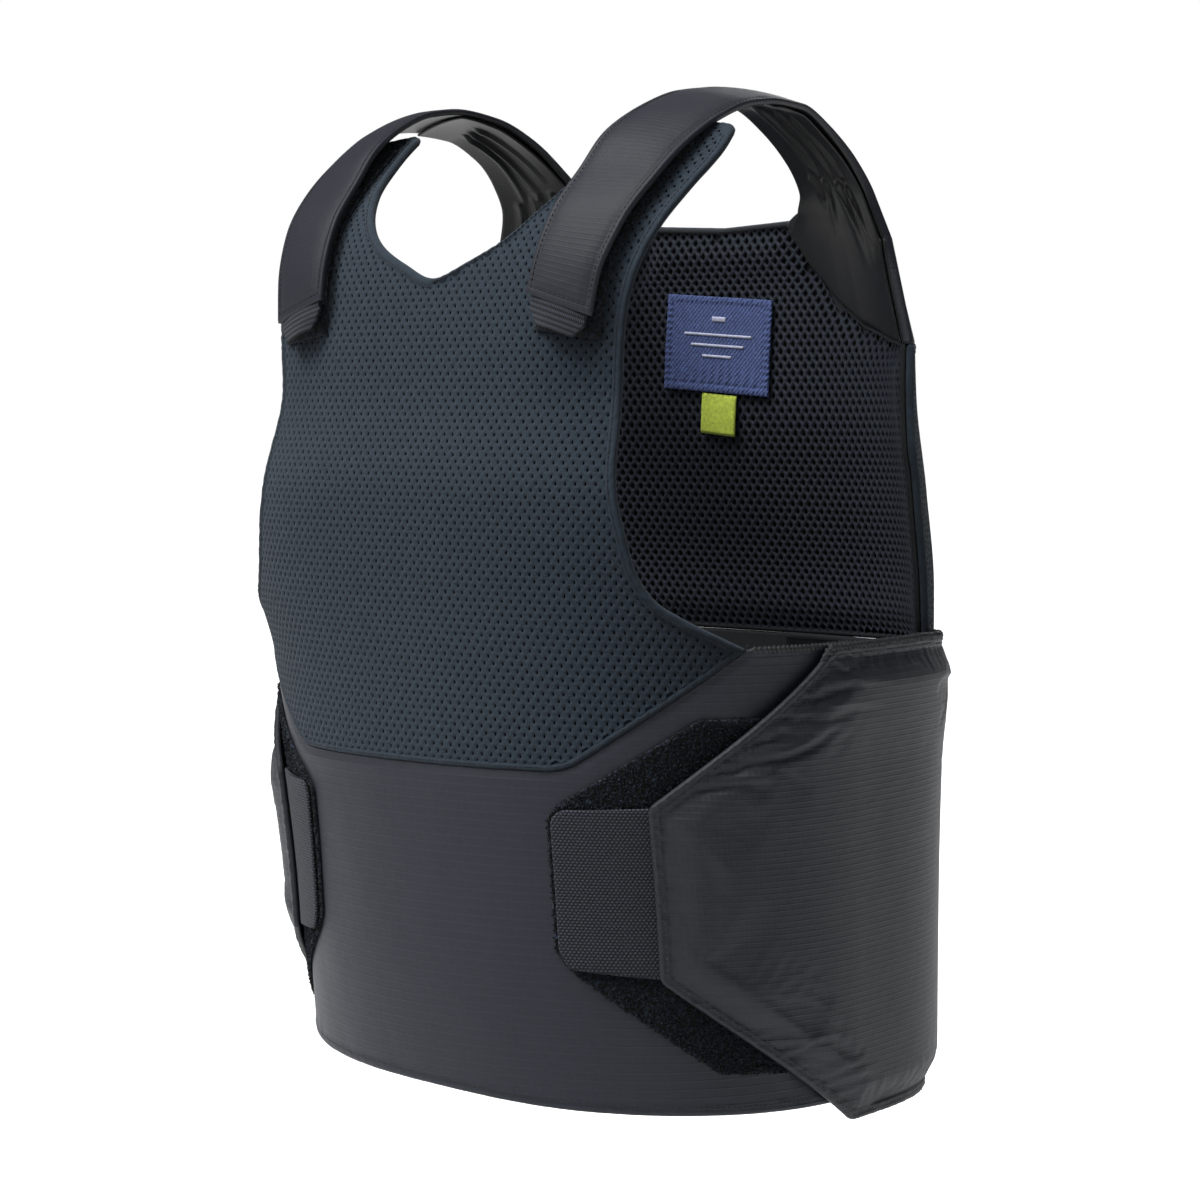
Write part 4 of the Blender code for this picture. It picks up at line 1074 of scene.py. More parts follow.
def between_outline(table, corner, step=EDGE_STEP):
    """Closed outline of a piece given by top and bottom lines, its corners rounded."""
    table = np.array(table)
    top = FRONT.flat(table[:, 0], table[:, 1])
    low = FRONT.flat(table[:, 0], table[:, 2])
    outline = cut_corners(np.concatenate((low, top[::-1])), corner)
    return straight_path(np.concatenate((outline, outline[:1])), step)[:-1]


# Pieces

MESH_RINGS = (0.0006, 0.0014, 0.0024, 0.0034, 0.0044, 0.0056, 0.0064, 0.0090)
# Heights of stitches over the cloth, and how far they lie inside the edge
MESH_SEAM_UP = 0.00055
HEM_SEAM_UP = 0.0004
SEAM_INSET = 0.0044
HEM_SEAM_INSET = 0.0050
HEM_WIDTH = 0.0056
HEM_ROUND = 0.0022
CELL_MARGIN = 0.0034
NET_MARGIN = 0.0042
NECK_HEM_WIDTH = 0.0028
SEAM_HEM_WIDTH = 0.0032
MESH_HOLES = {"Lip Scale": 0.23, "Stretch": 2.5, "Slope": 0.00025, "Hole Scale": 0.76, "Lip Depth": 0.0003,
              "Depth": 0.0006}
NET_HOLES = {"Lip Scale": 0.60, "Stretch": 1.35, "Slope": 0.0005, "Hole Scale": 0.80, "Lip Depth": 0.0006,
             "Depth": 0.0007}
# Cells of the nets: pitch, distance from row to row, half the height of a cell
FRONT_CELLS = (0.0062, 0.0040, 0.0029)
BACK_CELLS = (0.0071, 0.0047, 0.0040)


def pierced_skin(name, outline, drape):
    """Perforated cloth over a mesh panel."""
    skin = perforated(name, outline, drape, CELL_MARGIN, lambda d: -rounded_drop(d, HEM_ROUND), FRONT_CELLS,
                      MESH_HOLES, "mesh_cloth", "hole_shadow")
    dress(skin, None)


def front_hem_width(flat):
    """Width of the front's folded edge: narrow at the seam and along the left half of the neck."""
    neck = distance(flat, neck_path(), closed=False)
    arm = distance(flat * np.where(flat[:, :1] < 0.0, -1.0, 1.0) ** (1, 0), armhole_path(), closed=False)
    seam = distance(flat, seam_line(), closed=False)
    width = np.where((neck < arm) & (neck < seam) & (flat[:, 0] > 0.0), NECK_HEM_WIDTH, HEM_WIDTH)
    return np.where((seam < arm) & (seam < neck), SEAM_HEM_WIDTH, width)


def build_front_mesh():
    """Perforated upper front: padded body with folded edges, and the pierced cloth over it."""
    outline = front_upper_outline()
    cloth = cut_cloth(outline, MESH_RINGS, 0.0075)
    flat = cloth[0]
    d = distance(flat, outline)
    outer = FRONT.place(flat, hem_profile(flat, d, front_hem_width(flat), 0.0006, 0.0020, 0.0012))
    body = shell("front_mesh_panel_body", cloth, outer, *panel_back(outline, FRONT))
    dress(body, "mesh_cloth", ["front_mesh_panel"])
    pierced_skin("front_mesh_cloth", outline, FRONT)
    for side in (1, -1):
        line = armhole_path()
        inward = unit(np.stack((-np.gradient(line[:, 1]), np.gradient(line[:, 0])), axis=1))
        sew(FRONT.place((line + inward * SEAM_INSET)[3:-6] * (side, 1.0), MESH_SEAM_UP))
    line = neck_path()
    line = np.concatenate((line[:0:-1] * (-1.0, 1.0), line))
    inward = unit(np.stack((np.gradient(line[:, 1]), -np.gradient(line[:, 0])), axis=1))
    deep = np.where(line[:, 0] > 0.0, 0.0020, SEAM_INSET)
    sew(FRONT.place((line + inward * deep[:, None])[4:-4], MESH_SEAM_UP))
    sew(FRONT.place(seam_line(0.0025), 0.00035))


LOWER_RINGS = (0.0006, 0.0015, 0.0030, 0.0044, 0.0054, 0.0064, 0.0085)
# Creases of the lower front: start line as two (s, z), how many, angles, lengths, width, height
FRONT_CREASES = (
    ((0.1500, -0.3760), (0.2080, -0.3460), 5, (-60, -15), (0.012, 0.034), 0.0022, 0.0005),
    ((-0.2600, -0.5700), (-0.1000, -0.5740), 6, (60, 120), (0.010, 0.024), 0.0030, 0.0006),
    ((0.0400, -0.5800), (0.2600, -0.5880), 6, (60, 120), (0.008, 0.018), 0.0030, 0.0005),
)


def build_front_lower():
    """Ripstop lower front, padded, with a rolled hem."""
    outline = front_lower_outline()
    cloth = cut_cloth(outline, LOWER_RINGS, 0.0046)
    flat = cloth[0]
    d = distance(flat, outline)
    seam = distance(flat, seam_line(), closed=False)
    sunk = -0.0008 * (1.0 - ease(seam / 0.006))
    fold = np.where(seam < d + 0.0002, sunk, hem_profile(flat, d, HEM_WIDTH, 0.0003, HEM_ROUND))
    groups = [(FRONT.flat(*start), FRONT.flat(*end), *rest) for start, end, *rest in FRONT_CREASES]
    fold = fold + creases(flat, groups, 17) * ease(d / 0.004) + 0.0002 * noise_folds(flat, 3, 0.06)
    piece = shell("front_lower_panel_cloth", cloth, FRONT.place(flat, fold), *panel_back(outline, FRONT))
    dress(piece, "panel_ripstop", ["front_lower_panel"])
    hem = np.array(HEM)
    s = np.linspace(-FRONT_SIDE_S + 0.006, FRONT_SIDE_S - 0.006, 240)
    sew(FRONT.place(FRONT.flat(s, monotone(hem[:, 0], hem[:, 1], s)) + (0.0, HEM_SEAM_INSET), HEM_SEAM_UP))


def build_back():
    """Back panels: perforated cloth outside, spacer net inside, ripstop below."""
    outline = back_upper_outline()
    cloth = cut_cloth(outline, MESH_RINGS, 0.0090)
    flat, triangles = cloth
    d = distance(flat, outline)
    outer = BACK.place(flat, hem_profile(flat, d, HEM_WIDTH, 0.0005, 0.0020, 0.0012))
    body = shell("back_mesh_panel_body", cloth, outer, *panel_back(outline, BACK))
    dress(body, "mesh_cloth", ["back_mesh_panel"])
    pierced_skin("back_mesh_cloth", outline, BACK)
    behind = -panel_depth(d) - LINING_GAP
    hem = 1.0 - ease((d - 0.0030) / 0.0008)
    lower = BACK.place(flat, behind - 0.0004 - 0.0026 * hem + rounded_drop(d, 0.0014))
    hidden = cut_cloth(outline, BACK_RINGS, BACK_SPACING)
    upper = BACK.place(hidden[0], -panel_depth(distance(hidden[0], outline)) - LINING_GAP)
    lining = shell("back_lining_edge", cloth, lower, hidden, upper)
    dress(lining, "binding", ["back_lining"])
    net = perforated("back_spacer_net", outline, BACK, NET_MARGIN,
                     lambda d: -panel_depth(d) - LINING_GAP - LINING_THICK + rounded_drop(d, 0.0020),
                     BACK_CELLS, NET_HOLES, "spacer_mesh", "net_shadow", flip=True)
    dress(net, None)
    outline = back_lower_outline()
    cloth = cut_cloth(outline, LOWER_RINGS, 0.0056)
    flat = cloth[0]
    d = distance(flat, outline)
    fold = hem_profile(flat, d, HEM_WIDTH, 0.0003, HEM_ROUND) + 0.0003 * noise_folds(flat, 5, 0.06)
    outer = BACK.place(flat, fold)
    piece = shell("back_lower_panel_cloth", cloth, outer, *panel_back(outline, BACK))
    dress(piece, "panel_ripstop", ["back_lower_panel"])
    for side in (1, -1):
        z = np.linspace(BACK_SEAM_Z + 0.012, -0.155, 90)
        sew(BACK.place(BACK.flat(side * (back_side(z) - SEAM_INSET), z), MESH_SEAM_UP))
        sew(BACK.place(BACK.flat(side * (back_side(z) - HEM_SEAM_INSET), z), -PANEL_EDGE_THICK - 0.0045))
    u = np.linspace(-0.97, 0.97, 160)
    for lift in (0.0016, 0.0046):
        z = BACK_SEAM_Z + BACK_SEAM_RISE * u ** 4 + lift
        sew(BACK.place(BACK.flat(u * BACK_SIDE_AWAY * 0.94, z), 0.0006))
    a = np.linspace(-BACK_SIDE_AWAY + 0.006, BACK_SIDE_AWAY - 0.006, 160)
    sew(BACK.place(BACK.flat(a, np.full(160, BACK_HEM_Z + HEM_SEAM_INSET)), HEM_SEAM_UP))


AHEAD = (0.0, -1.0, 0.0)
STRAP_COLUMNS = (0.0, 0.008, 0.022, 0.045, 0.065, 0.08, 0.10, 0.15, 0.22, 0.30, 0.40, 0.50)
STRAP_ROWS = 14


def strap_crown(across):
    """Height of a strap's middle over its edges."""
    return STRAP_CROWN * 4.0 * across * (1.0 - across)


def strap_surface(side, across):
    """Outer face of a shoulder strap, front end first, down to the shoulder seam: rows by columns."""
    across = np.asarray(across)
    knots = []
    for neck_s, neck_z, arm_s, arm_z in CHEST_STRAP:
        s, z = neck_s + across * (arm_s - neck_s), neck_z + across * (arm_z - neck_z)
        knots.append(wall(s, z, np.full(len(across), STRAP_LIFT)))
    crown = strap_crown(across)
    ends = np.array(OVER_STRAP)
    for i, row in enumerate(ends):
        neck, arm = row[:3], row[3:]
        ahead = ends[min(i + 1, len(ends) - 1)][:3] - ends[max(i - 1, 0)][:3]
        rise = unit(np.cross(arm - neck, ahead))
        knots.append(neck + np.outer(across, arm - neck) + np.outer(crown, rise))
    knots = np.array(knots) * (side, 1.0, 1.0)
    numbers = np.arange(len(knots))
    t = np.linspace(0.0, len(knots) - 1.0, (len(knots) - 1) * STRAP_ROWS + 1)
    flat_knots = knots.reshape(len(knots), -1)
    rows = np.stack([monotone(numbers, flat_knots[:, k], t) for k in range(flat_knots.shape[1])], axis=1)
    rows = rows.reshape(len(t), len(across), 3)
    last = seam_points(side, across, 0.0)
    steps = np.linspace(0.0, 1.0, 3 * STRAP_ROWS // 2 + 1)[1:, None, None]
    return np.concatenate((rows, rows[-1] + (last - rows[-1]) * steps))


def seam_points(side, across, out):
    """Points along the shoulder seam, on the worn shape moved outwards by out."""
    x = SEAM_X_INNER + across * (SEAM_X_OUTER - SEAM_X_INNER)
    table = np.array(SHOULDER_SEAM)
    z = np.interp(x, table[:, 0], table[:, 1]) + 0.0006
    away = length_at_x(x, z)
    return wall(half_girth(z) - away, z, np.full(len(x), out)) * (side, 1.0, 1.0)


def surface_flat(points):
    """Metres across and along a grid of points."""
    steps = np.linalg.norm(np.diff(points, axis=1), axis=2)
    across = np.concatenate((np.zeros((len(points), 1)), np.cumsum(steps, axis=1)), axis=1)
    middle = points[:, points.shape[1] // 2]
    along = np.concatenate(([0.0], np.cumsum(np.linalg.norm(np.diff(middle, axis=0), axis=1))))
    return np.stack((across - across[:, -1:] / 2.0, np.broadcast_to(along[:, None], across.shape)), axis=-1)


def mirrored_columns(half):
    half = np.asarray(half)
    return np.concatenate((half, 1.0 - half[-2::-1]))


def build_straps():
    """Padded shoulder straps with topstitched edges, their hook strips and pull tabs."""
    for word, side in SIDES:
        across = mirrored_columns(STRAP_COLUMNS)
        rows = strap_surface(side, across)
        normal = facing(grid_normals(rows), (len(rows) // 3, len(across) // 2), (0.0, 0.0, 1.0))
        flat = surface_flat(rows)
        width = flat[:, -1:, 0] - flat[:, :1, 0]
        edge = np.minimum(across, 1.0 - across)[None, :] * width
        share = np.linspace(0.0, 1.0, len(rows))[:, None]
        thick = STRAP_THICK + (STRAP_BACK_THICK - STRAP_THICK) * ease((share - 0.55) / 0.30)
        end = flat[..., 1]
        near = np.minimum(edge, end + 0.0002)
        groove = 0.0005 * np.exp(-((near - 0.0040) / 0.0011) ** 2)
        round_off = rounded_drop(near, 0.0014)
        puff = 0.0005 * ease((near - 0.004) / 0.008)
        fade = 1.0 - ease((share - 0.90) / 0.10)
        outer = rows + normal * ((puff - groove) * fade - round_off)[..., None]
        inner = rows - normal * (thick - 0.9 * round_off)[..., None]
        inner[-1] = seam_points(side, across, -STRAP_BACK_THICK)
        piece = slab("shoulder_strap_cloth_" + word, outer, inner, flat)
        dress(piece, "strap_ripstop", ["shoulder_strap_" + word])
        piece.data.materials.append(finish_of("dark_lining"))
        sheets = (len(rows) - 1) * (len(across) - 1)
        for face in piece.data.polygons[sheets:2 * sheets]:
            face.material_index = 1
        for column in (4, len(across) - 5):
            sew(outer[6:-18, column] + normal[6:-18, column] * 0.0002)
        first = int(np.searchsorted(flat[:, 0, 1], 0.0040))
        sew(outer[first, 4:-4] + normal[first, 4:-4] * 0.0002)
        build_strap_ends(word, side)


def build_strap_ends(word, side):
    """Hook strip below the front of a strap and the webbing tab at its end."""
    across = np.linspace(0.06, 0.94, 15)
    rows = strap_surface(side, across)[:3 * STRAP_ROWS + 1]
    normal = facing(grid_normals(rows), (0, 7), AHEAD)
    top = STRAP_THICK + 0.0003
    low = top + 0.0026
    hook = slab("strap_hook_pile_" + word, rows - normal * top, rows - normal * low, surface_flat(rows))
    dress(hook, "loop_pile", ["strap_hook_" + word])
    rows = strap_surface(side, np.linspace(0.0, 1.0, 41))
    left, right = rows[0, 0], rows[0, -1]
    down = unit(rows[0, 20] - rows[6, 20])
    over = unit(right - left)
    normal = facing(np.cross(over, down), ..., AHEAD)
    u = np.linspace(0.0, 1.0, 49)
    v = np.linspace(0.0, 1.0, 27)
    length, inset, clip = 0.0150, 0.0040, 0.0070
    corner = clip * np.clip((v - 0.45) / 0.55, 0.0, 1.0)
    start = left + over * (inset + corner)[:, None]
    end = right - over * (inset + corner)[:, None]
    points = start[:, None] + (end - start)[:, None] * u[None, :, None]
    bow = strap_crown(u) - 0.0020
    rib = 0.00022 * np.abs(np.sin(v * length * pi / 0.0031)) ** 0.7
    raised = bow[None, :] + rib[:, None]
    points = points + down * (0.0003 + v * length)[:, None, None] + normal * raised[..., None]
    flat = np.stack(np.broadcast_arrays(u[None, :] * 0.040, v[:, None] * length), axis=-1)
    tip = slab("strap_tip_webbing_" + word, points, points - normal * 0.0018, flat)
    dress(tip, "tip_webbing", ["strap_tip_" + word])


# Creases of a shoulder lining, in shares of its width and length from the neck side and the top
LINING_CREASES = (
    ((0.25, 0.10), (0.80, 0.15), 3, (78, 100), (0.080, 0.130), 0.0090, 0.0040),
    ((0.15, 0.50), (0.85, 0.55), 4, (65, 105), (0.045, 0.080), 0.0080, 0.0036),
)


def build_shoulder_linings():
    """Smooth lining inside the back of each shoulder, with soft folds towards the seam."""
    for word, side in SIDES:
        across = np.linspace(0.02, 0.98, 49)
        rows = strap_surface(side, across)[7 * STRAP_ROWS:]
        normal = facing(grid_normals(rows), (10, 24), rows[10, 24] - (0.10 * side, 0.0, -0.16))
        flat = surface_flat(rows)
        share = np.linspace(0.0, 1.0, len(rows))[:, None]
        u = across[None, :]
        size = np.ptp(flat.reshape(-1, 2), axis=0)
        at = np.stack(np.broadcast_arrays(u * size[0] * side, share * size[1]), axis=-1).reshape(-1, 2)
        groups = [((x0 * size[0] * side, y0 * size[1]), (x1 * size[0] * side, y1 * size[1]), count,
                   tuple(sorted((90 + (a0 - 90) * side, 90 + (a1 - 90) * side))), lengths, wide, height)
                  for (x0, y0), (x1, y1), count, (a0, a1), lengths, wide, height in LINING_CREASES]
        fold = creases(at, groups, 44 + side).reshape(share.shape[0], -1)
        fold = fold * ease((1.0 - share) / 0.06) * ease(np.minimum(u, 1.0 - u) / 0.06)
        thick = STRAP_THICK + (STRAP_BACK_THICK - STRAP_THICK) * ease(share / 0.35) + LINING_GAP
        outer = rows - normal * (thick + np.maximum(fold, -0.0002) + 0.0002)[..., None]
        inner = outer - normal * 0.0012
        outer[-1] = seam_points(side, across, -STRAP_BACK_THICK - LINING_GAP)
        inner[-1] = seam_points(side, across, -STRAP_BACK_THICK - 0.0017)
        piece = slab("shoulder_lining_cloth_" + word, outer, inner, flat)
        dress(piece, "dark_lining", ["shoulder_lining_" + word])


def grow_pile(name, points, faces, height):
    """Tufts all over a skin, as a piece of their own."""
    sizes = bpy.context.scene.vest_sizes
    tufts = new_piece(name, points, faces, outward=False)
    run_tree(tufts, TREES["pile"], {"Density": sizes.pile_density, "Tuft Height": height,
                                           "Tuft Radius": height * 0.42, "Seed": sizes.pile_seed,
                                           "Pile": finish_of("loop_pile")})
    dress(tufts, None)


def build_piles():
    """Loop patches at the waist and loop strips on the shoulders."""
    for word, side in SIDES:
        outline = between_outline(PATCH, 0.004)
        cloth = cut_cloth(outline, (0.0007, 0.0018), 0.0045)
        flat, triangles = cloth
        d = distance(flat, outline)
        sided = flat * (side, 1.0)
        outer = FRONT.place(sided, 0.0020 - rounded_drop(d, 0.0010))
        hidden = cut_cloth(outline, (0.0018,), 0.0120)
        inner = FRONT.place(hidden[0] * (side, 1.0), 0.0006)
        piece = shell("loop_patch_pile_" + word, cloth, outer, hidden, inner)
        dress(piece, "loop_pile", ["loop_patch_" + word])
        grow_pile("loop_patch_tufts_" + word, outer, triangles[:, ::side], 0.0016)
        across = np.linspace(0.0, 1.0, 15)
        table = np.array(SHOULDER_LOOP)
        v = np.linspace(0.0, len(table) - 1.0, 36)
        rows = np.stack([monotone(np.arange(len(table)), table[:, k], v) for k in range(4)], axis=1)
        s = side * (rows[:, :1] + across * (rows[:, 2:3] - rows[:, :1]))
        z = rows[:, 1:2] + across * (rows[:, 3:4] - rows[:, 1:2])
        edge = np.broadcast_to(np.minimum(across, 1.0 - across) * 0.05, s.shape)
        low = wall(s, z, np.full(s.shape, 0.0005))
        high = wall(s, z, 0.0024 - rounded_drop(edge, 0.0010))
        strip = slab("shoulder_loop_pile_" + word, high, low, surface_flat(high))
        dress(strip, "loop_pile", ["shoulder_loop_" + word])
        faces = grid_faces(*high.shape[:2])[:, ::-side]
        grow_pile("shoulder_loop_tufts_" + word, high.reshape(-1, 3), faces, 0.0013)


WING_RINGS = (0.0005, 0.0012, 0.0026, 0.0040, 0.0050, 0.0058, 0.0075)
# Creases of a wing: start line as two (s, z), how many, angles, lengths, width, height
WING_CREASES = (
    ((0.1760, -0.4010), (0.2660, -0.3370), 11, (-4, 18), (0.030, 0.075), 0.0021, 0.0017),
    ((0.1700, -0.4040), (0.2600, -0.3400), 12, (-12, 24), (0.012, 0.030), 0.0014, 0.0010),
    ((0.2640, -0.3330), (0.2950, -0.3320), 4, (-70, -10), (0.014, 0.040), 0.0020, 0.0014),
    ((0.3000, -0.3320), (0.4500, -0.3320), 16, (-125, -60), (0.006, 0.018), 0.0018, 0.0007),
    ((0.1950, -0.5420), (0.2640, -0.5960), 9, (-8, 16), (0.020, 0.055), 0.0020, 0.0014),
    ((0.2800, -0.5920), (0.4400, -0.5920), 14, (60, 120), (0.006, 0.016), 0.0019, 0.0006),
    ((0.1570, -0.4250), (0.1570, -0.5050), 5, (-14, 14), (0.010, 0.024), 0.0018, 0.0005),
)


WING_FRONT_UP = 0.0053
WING_BACK_UP = 0.0012
WING_EDGE_THICK = 0.0034
WING_THICK = 0.0100
# The wing's cloth in the simulation: pinned rim, extra cloth, pressure, most that it may rise
WING_PINNED = 0.0062
WING_EXTRA = 0.011
WING_PRESSURE = 0.8
WING_RISE = 0.0015
# Sewn slot above a wing's lower hem: its height over the hem, and its span
SLOT_UP = 0.0072
SLOT_SPAN = (0.29, 0.445)


def wing_base(s):
    """Stand-off of a wing's inner face: over the elastic and patch in front, close to the panel behind."""
    return WING_FRONT_UP + (WING_BACK_UP - WING_FRONT_UP) * ease((s - 0.19) / 0.12)


def build_wings():
    """Padded side wings with folded hems, their elastic tabs and rolled bindings."""
    groups = [(FRONT.flat(*start), FRONT.flat(*end), *rest) for start, end, *rest in WING_CREASES]
    for word, side in SIDES:
        outline = between_outline(WING, 0.004)
        cloth = cut_cloth(outline, WING_RINGS, 0.0023)
        flat, triangles = cloth
        d = distance(flat, outline)
        s = flat[:, 0]
        base = wing_base(s)
        full = WING_EDGE_THICK + (WING_THICK - WING_EDGE_THICK) * ease((d - 0.004) / 0.020)
        bottom = np.interp(s, [row[0] for row in WING], [row[2] for row in WING])
        above_low = flat[:, 1] - FRONT.flat(s, bottom)[:, 1]
        slot = 0.0014 * np.exp(-((above_low - SLOT_UP) / 0.0009) ** 2)
        slot *= ease((s - SLOT_SPAN[0]) / 0.01) * ease((SLOT_SPAN[1] - s) / 0.01)
        folds = creases(flat, groups, 31 + side) * ease((d - 0.0046) / 0.003)
        top = base + full + hem_profile(flat, d, 0.0052, 0.0009, 0.0022, 0.0, 0.0008) + folds - slot
        sided = flat * (side, 1.0)
        outer = FRONT.place(sided, top)
        normals = unit(FRONT.place(sided, top + 0.001) - outer)
        pinned = (d < WING_PINNED) | ((above_low < SLOT_UP + 0.0020) & (s > 0.28))
        outer = billow("wing_skin", outer, triangles[:, ::side], pinned, WING_EXTRA, WING_PRESSURE, WING_RISE,
                       normals)
        hidden = cut_cloth(outline, (0.0006, 0.0020), 0.0140)
        under = wing_base(hidden[0][:, 0]) + rounded_drop(distance(hidden[0], outline), 0.0010)
        piece = shell("wing_cloth_" + word, cloth, outer, hidden, FRONT.place(hidden[0] * (side, 1.0), under))
        dress(piece, "wing_ripstop", ["wing_" + word])
        build_wing_trim(word, side, outline)


def build_wing_trim(word, side, outline):
    """Stitch line along a wing's hem, its elastic tab and the gathered binding on its upper edge."""
    closed = np.concatenate((outline, outline[:1]))
    tangent = unit(np.gradient(closed, axis=0))
    inward = np.stack((-tangent[:, 1], tangent[:, 0]), axis=1)
    inward *= np.sign(((outline.mean(0) - closed) * inward).sum(1))[:, None]
    line = closed + inward * 0.0041
    line = line[distance(line, outline) > 0.0038]
    sew(FRONT.place(line * (side, 1.0), wing_base(line[:, 0]) + WING_EDGE_THICK + 0.0003), "bright")
    band = between_outline(ELASTIC, 0.0040)
    cloth = cut_cloth(band, (0.0005, 0.0012), 0.0040)
    flat, triangles = cloth
    outer = FRONT.place(flat * (side, 1.0), 0.0049 - rounded_drop(distance(flat, band), 0.0009))
    hidden = cut_cloth(band, (0.0012,), 0.0100)
    inner = FRONT.place(hidden[0] * (side, 1.0), 0.0032)
    elastic = shell("elastic_webbing_" + word, cloth, outer, hidden, inner)
    dress(elastic, "elastic", ["elastic_" + word])
    s = np.linspace(0.262, 0.458, 330)
    top = np.interp(s, [row[0] for row in WING], [row[1] for row in WING])
    build_binding("wing_binding_" + word, side, s, top, wing_base(s) + 0.0019, 0.0023, 11)
    s = np.linspace(0.2185, 0.299, 150)
    build_binding("front_binding_" + word, side, s, SIDE_TOP_Z - 0.0006, np.full(len(s), -0.0012), 0.0021, 12)


def build_binding(name, side, s, z, out, radius, seed):
    """Gathered tube of binding along the upper edge, its gathers bunched at uneven steps."""
    random = np.random.default_rng(seed)
    phase = np.cumsum(random.uniform(0.6, 1.4, len(s))) * tau / 6.0
    share = np.linspace(0.0, 1.0, len(s))
    taper = np.minimum(1.0, share * 25.0) * np.minimum(1.0, (1.0 - share) * 25.0)
    size = radius * (1.0 + 0.05 * random.standard_normal(len(s))) * np.sqrt(taper)
    height = np.zeros(len(s)) + z
    centre = wall(side * s, height, out)
    outward = unit(wall(side * s, height, out + 0.001) - centre)
    along = unit(np.gradient(centre, axis=0))
    up = unit(np.cross(along, outward))
    count = 12
    angle = np.linspace(0.0, tau, count + 1)[:-1]
    ring = (np.cos(angle)[None, :, None] * outward[:, None] + np.sin(angle)[None, :, None] * up[:, None])
    twist = 1.0 + 0.22 * np.sin(phase[:, None] + 1.5 * angle[None, :])
    points = centre[:, None] + ring * (size[:, None] * twist)[..., None]
    points = np.concatenate((points.reshape(-1, 3), centre[:1], centre[-1:]))
    pairs = [(c, (c + 1) % count) for c in range(count)]
    faces = [(row + c, row + after, row + count + after, row + count + c)
             for row in range(0, (len(s) - 1) * count, count) for c, after in pairs]
    first = len(s) * count
    base = first - count
    faces += [(first, after, c) for c, after in pairs]
    faces += [(first + 1, base + c, base + after) for c, after in pairs]
    round_and_along = np.broadcast_arrays(angle[None, :] * radius, s[:, None])
    uv = np.concatenate((np.stack(round_and_along, axis=-1).reshape(-1, 2), [[0.0, s[0]], [0.0, s[-1]]]))
    dress(new_piece(name, points, faces, uv), "edging")


# Waist bands: left and right edge from the centre back, finish, flat width
WAIST_BANDS = {
    "centre": (-0.040, 0.040, "band_cloth", 0.080),
    "left": (-0.150, -0.0406, "dark_lining", 0.1094),
    "right": (0.0406, 0.150, "dark_lining", 0.1094),
}
BAND_TOP_Z = -0.339
BAND_LOW_Z = -0.585


def build_waist_bands():
    """Bands inside the lower back, a light folded edge along the top of the dark ones."""
    depth = PANEL_THICK + 0.0012
    for word, (left, right, finish, wide) in WAIST_BANDS.items():
        corners = BACK.flat([left, right, right, left], [BAND_LOW_Z, BAND_LOW_Z, BAND_TOP_Z, BAND_TOP_Z])
        outline = cut_corners(corners, 0.001)
        outline = straight_path(np.concatenate((outline, outline[:1])), 0.004)[:-1]
        cloth = cut_cloth(outline, (0.0006, 0.0016, 0.0040), 0.012)
        flat = cloth[0]
        d = distance(flat, outline)
        outer = BACK.place(flat, -depth - rounded_drop(d, 0.0006))
        inner = BACK.place(flat, -depth - 0.0018 + rounded_drop(d, 0.0006))
        piece = shell("waist_band_cloth_" + word, cloth, outer, cloth, inner)
        dress(piece, finish, ["waist_band_" + word])
        if word == "centre":
            continue
        a = np.linspace(left, right, 60)
        top = BACK.flat(a, np.full(60, BAND_TOP_Z))
        v = np.array((0.0012, 0.0004, -0.0012, -0.0028))
        points = top[:, None] + np.stack((np.zeros(4), v), axis=1)[None]
        outs = np.array((-depth - 0.0006, -depth - 0.0022, -depth - 0.0024, -depth - 0.0021))
        face = BACK.place(points.reshape(-1, 2), np.tile(outs, 60)).reshape(60, 4, 3)
        under = BACK.place(points.reshape(-1, 2), np.tile(outs + 0.0003, 60)).reshape(60, 4, 3)
        edge = slab("waist_band_edge_" + word, face, under, points)
        dress(edge, "binding")


def label_point(across, down, depth):
    """Points on the lining inside the back, across and down from the label's middle."""
    z = LABEL_Z + down
    return wall(half_girth(z) - across, z, -np.broadcast_to(depth, np.shape(z)))


# Plain bars of the label: height over its middle, length, breadth
LABEL_BARS = ((0.0165, 0.0110, 0.0035), (0.0060, 0.0560, 0.0018), (-0.0010, 0.0440, 0.0018),
              (-0.0080, 0.0240, 0.0018))
TAG_DOWN = 0.0325


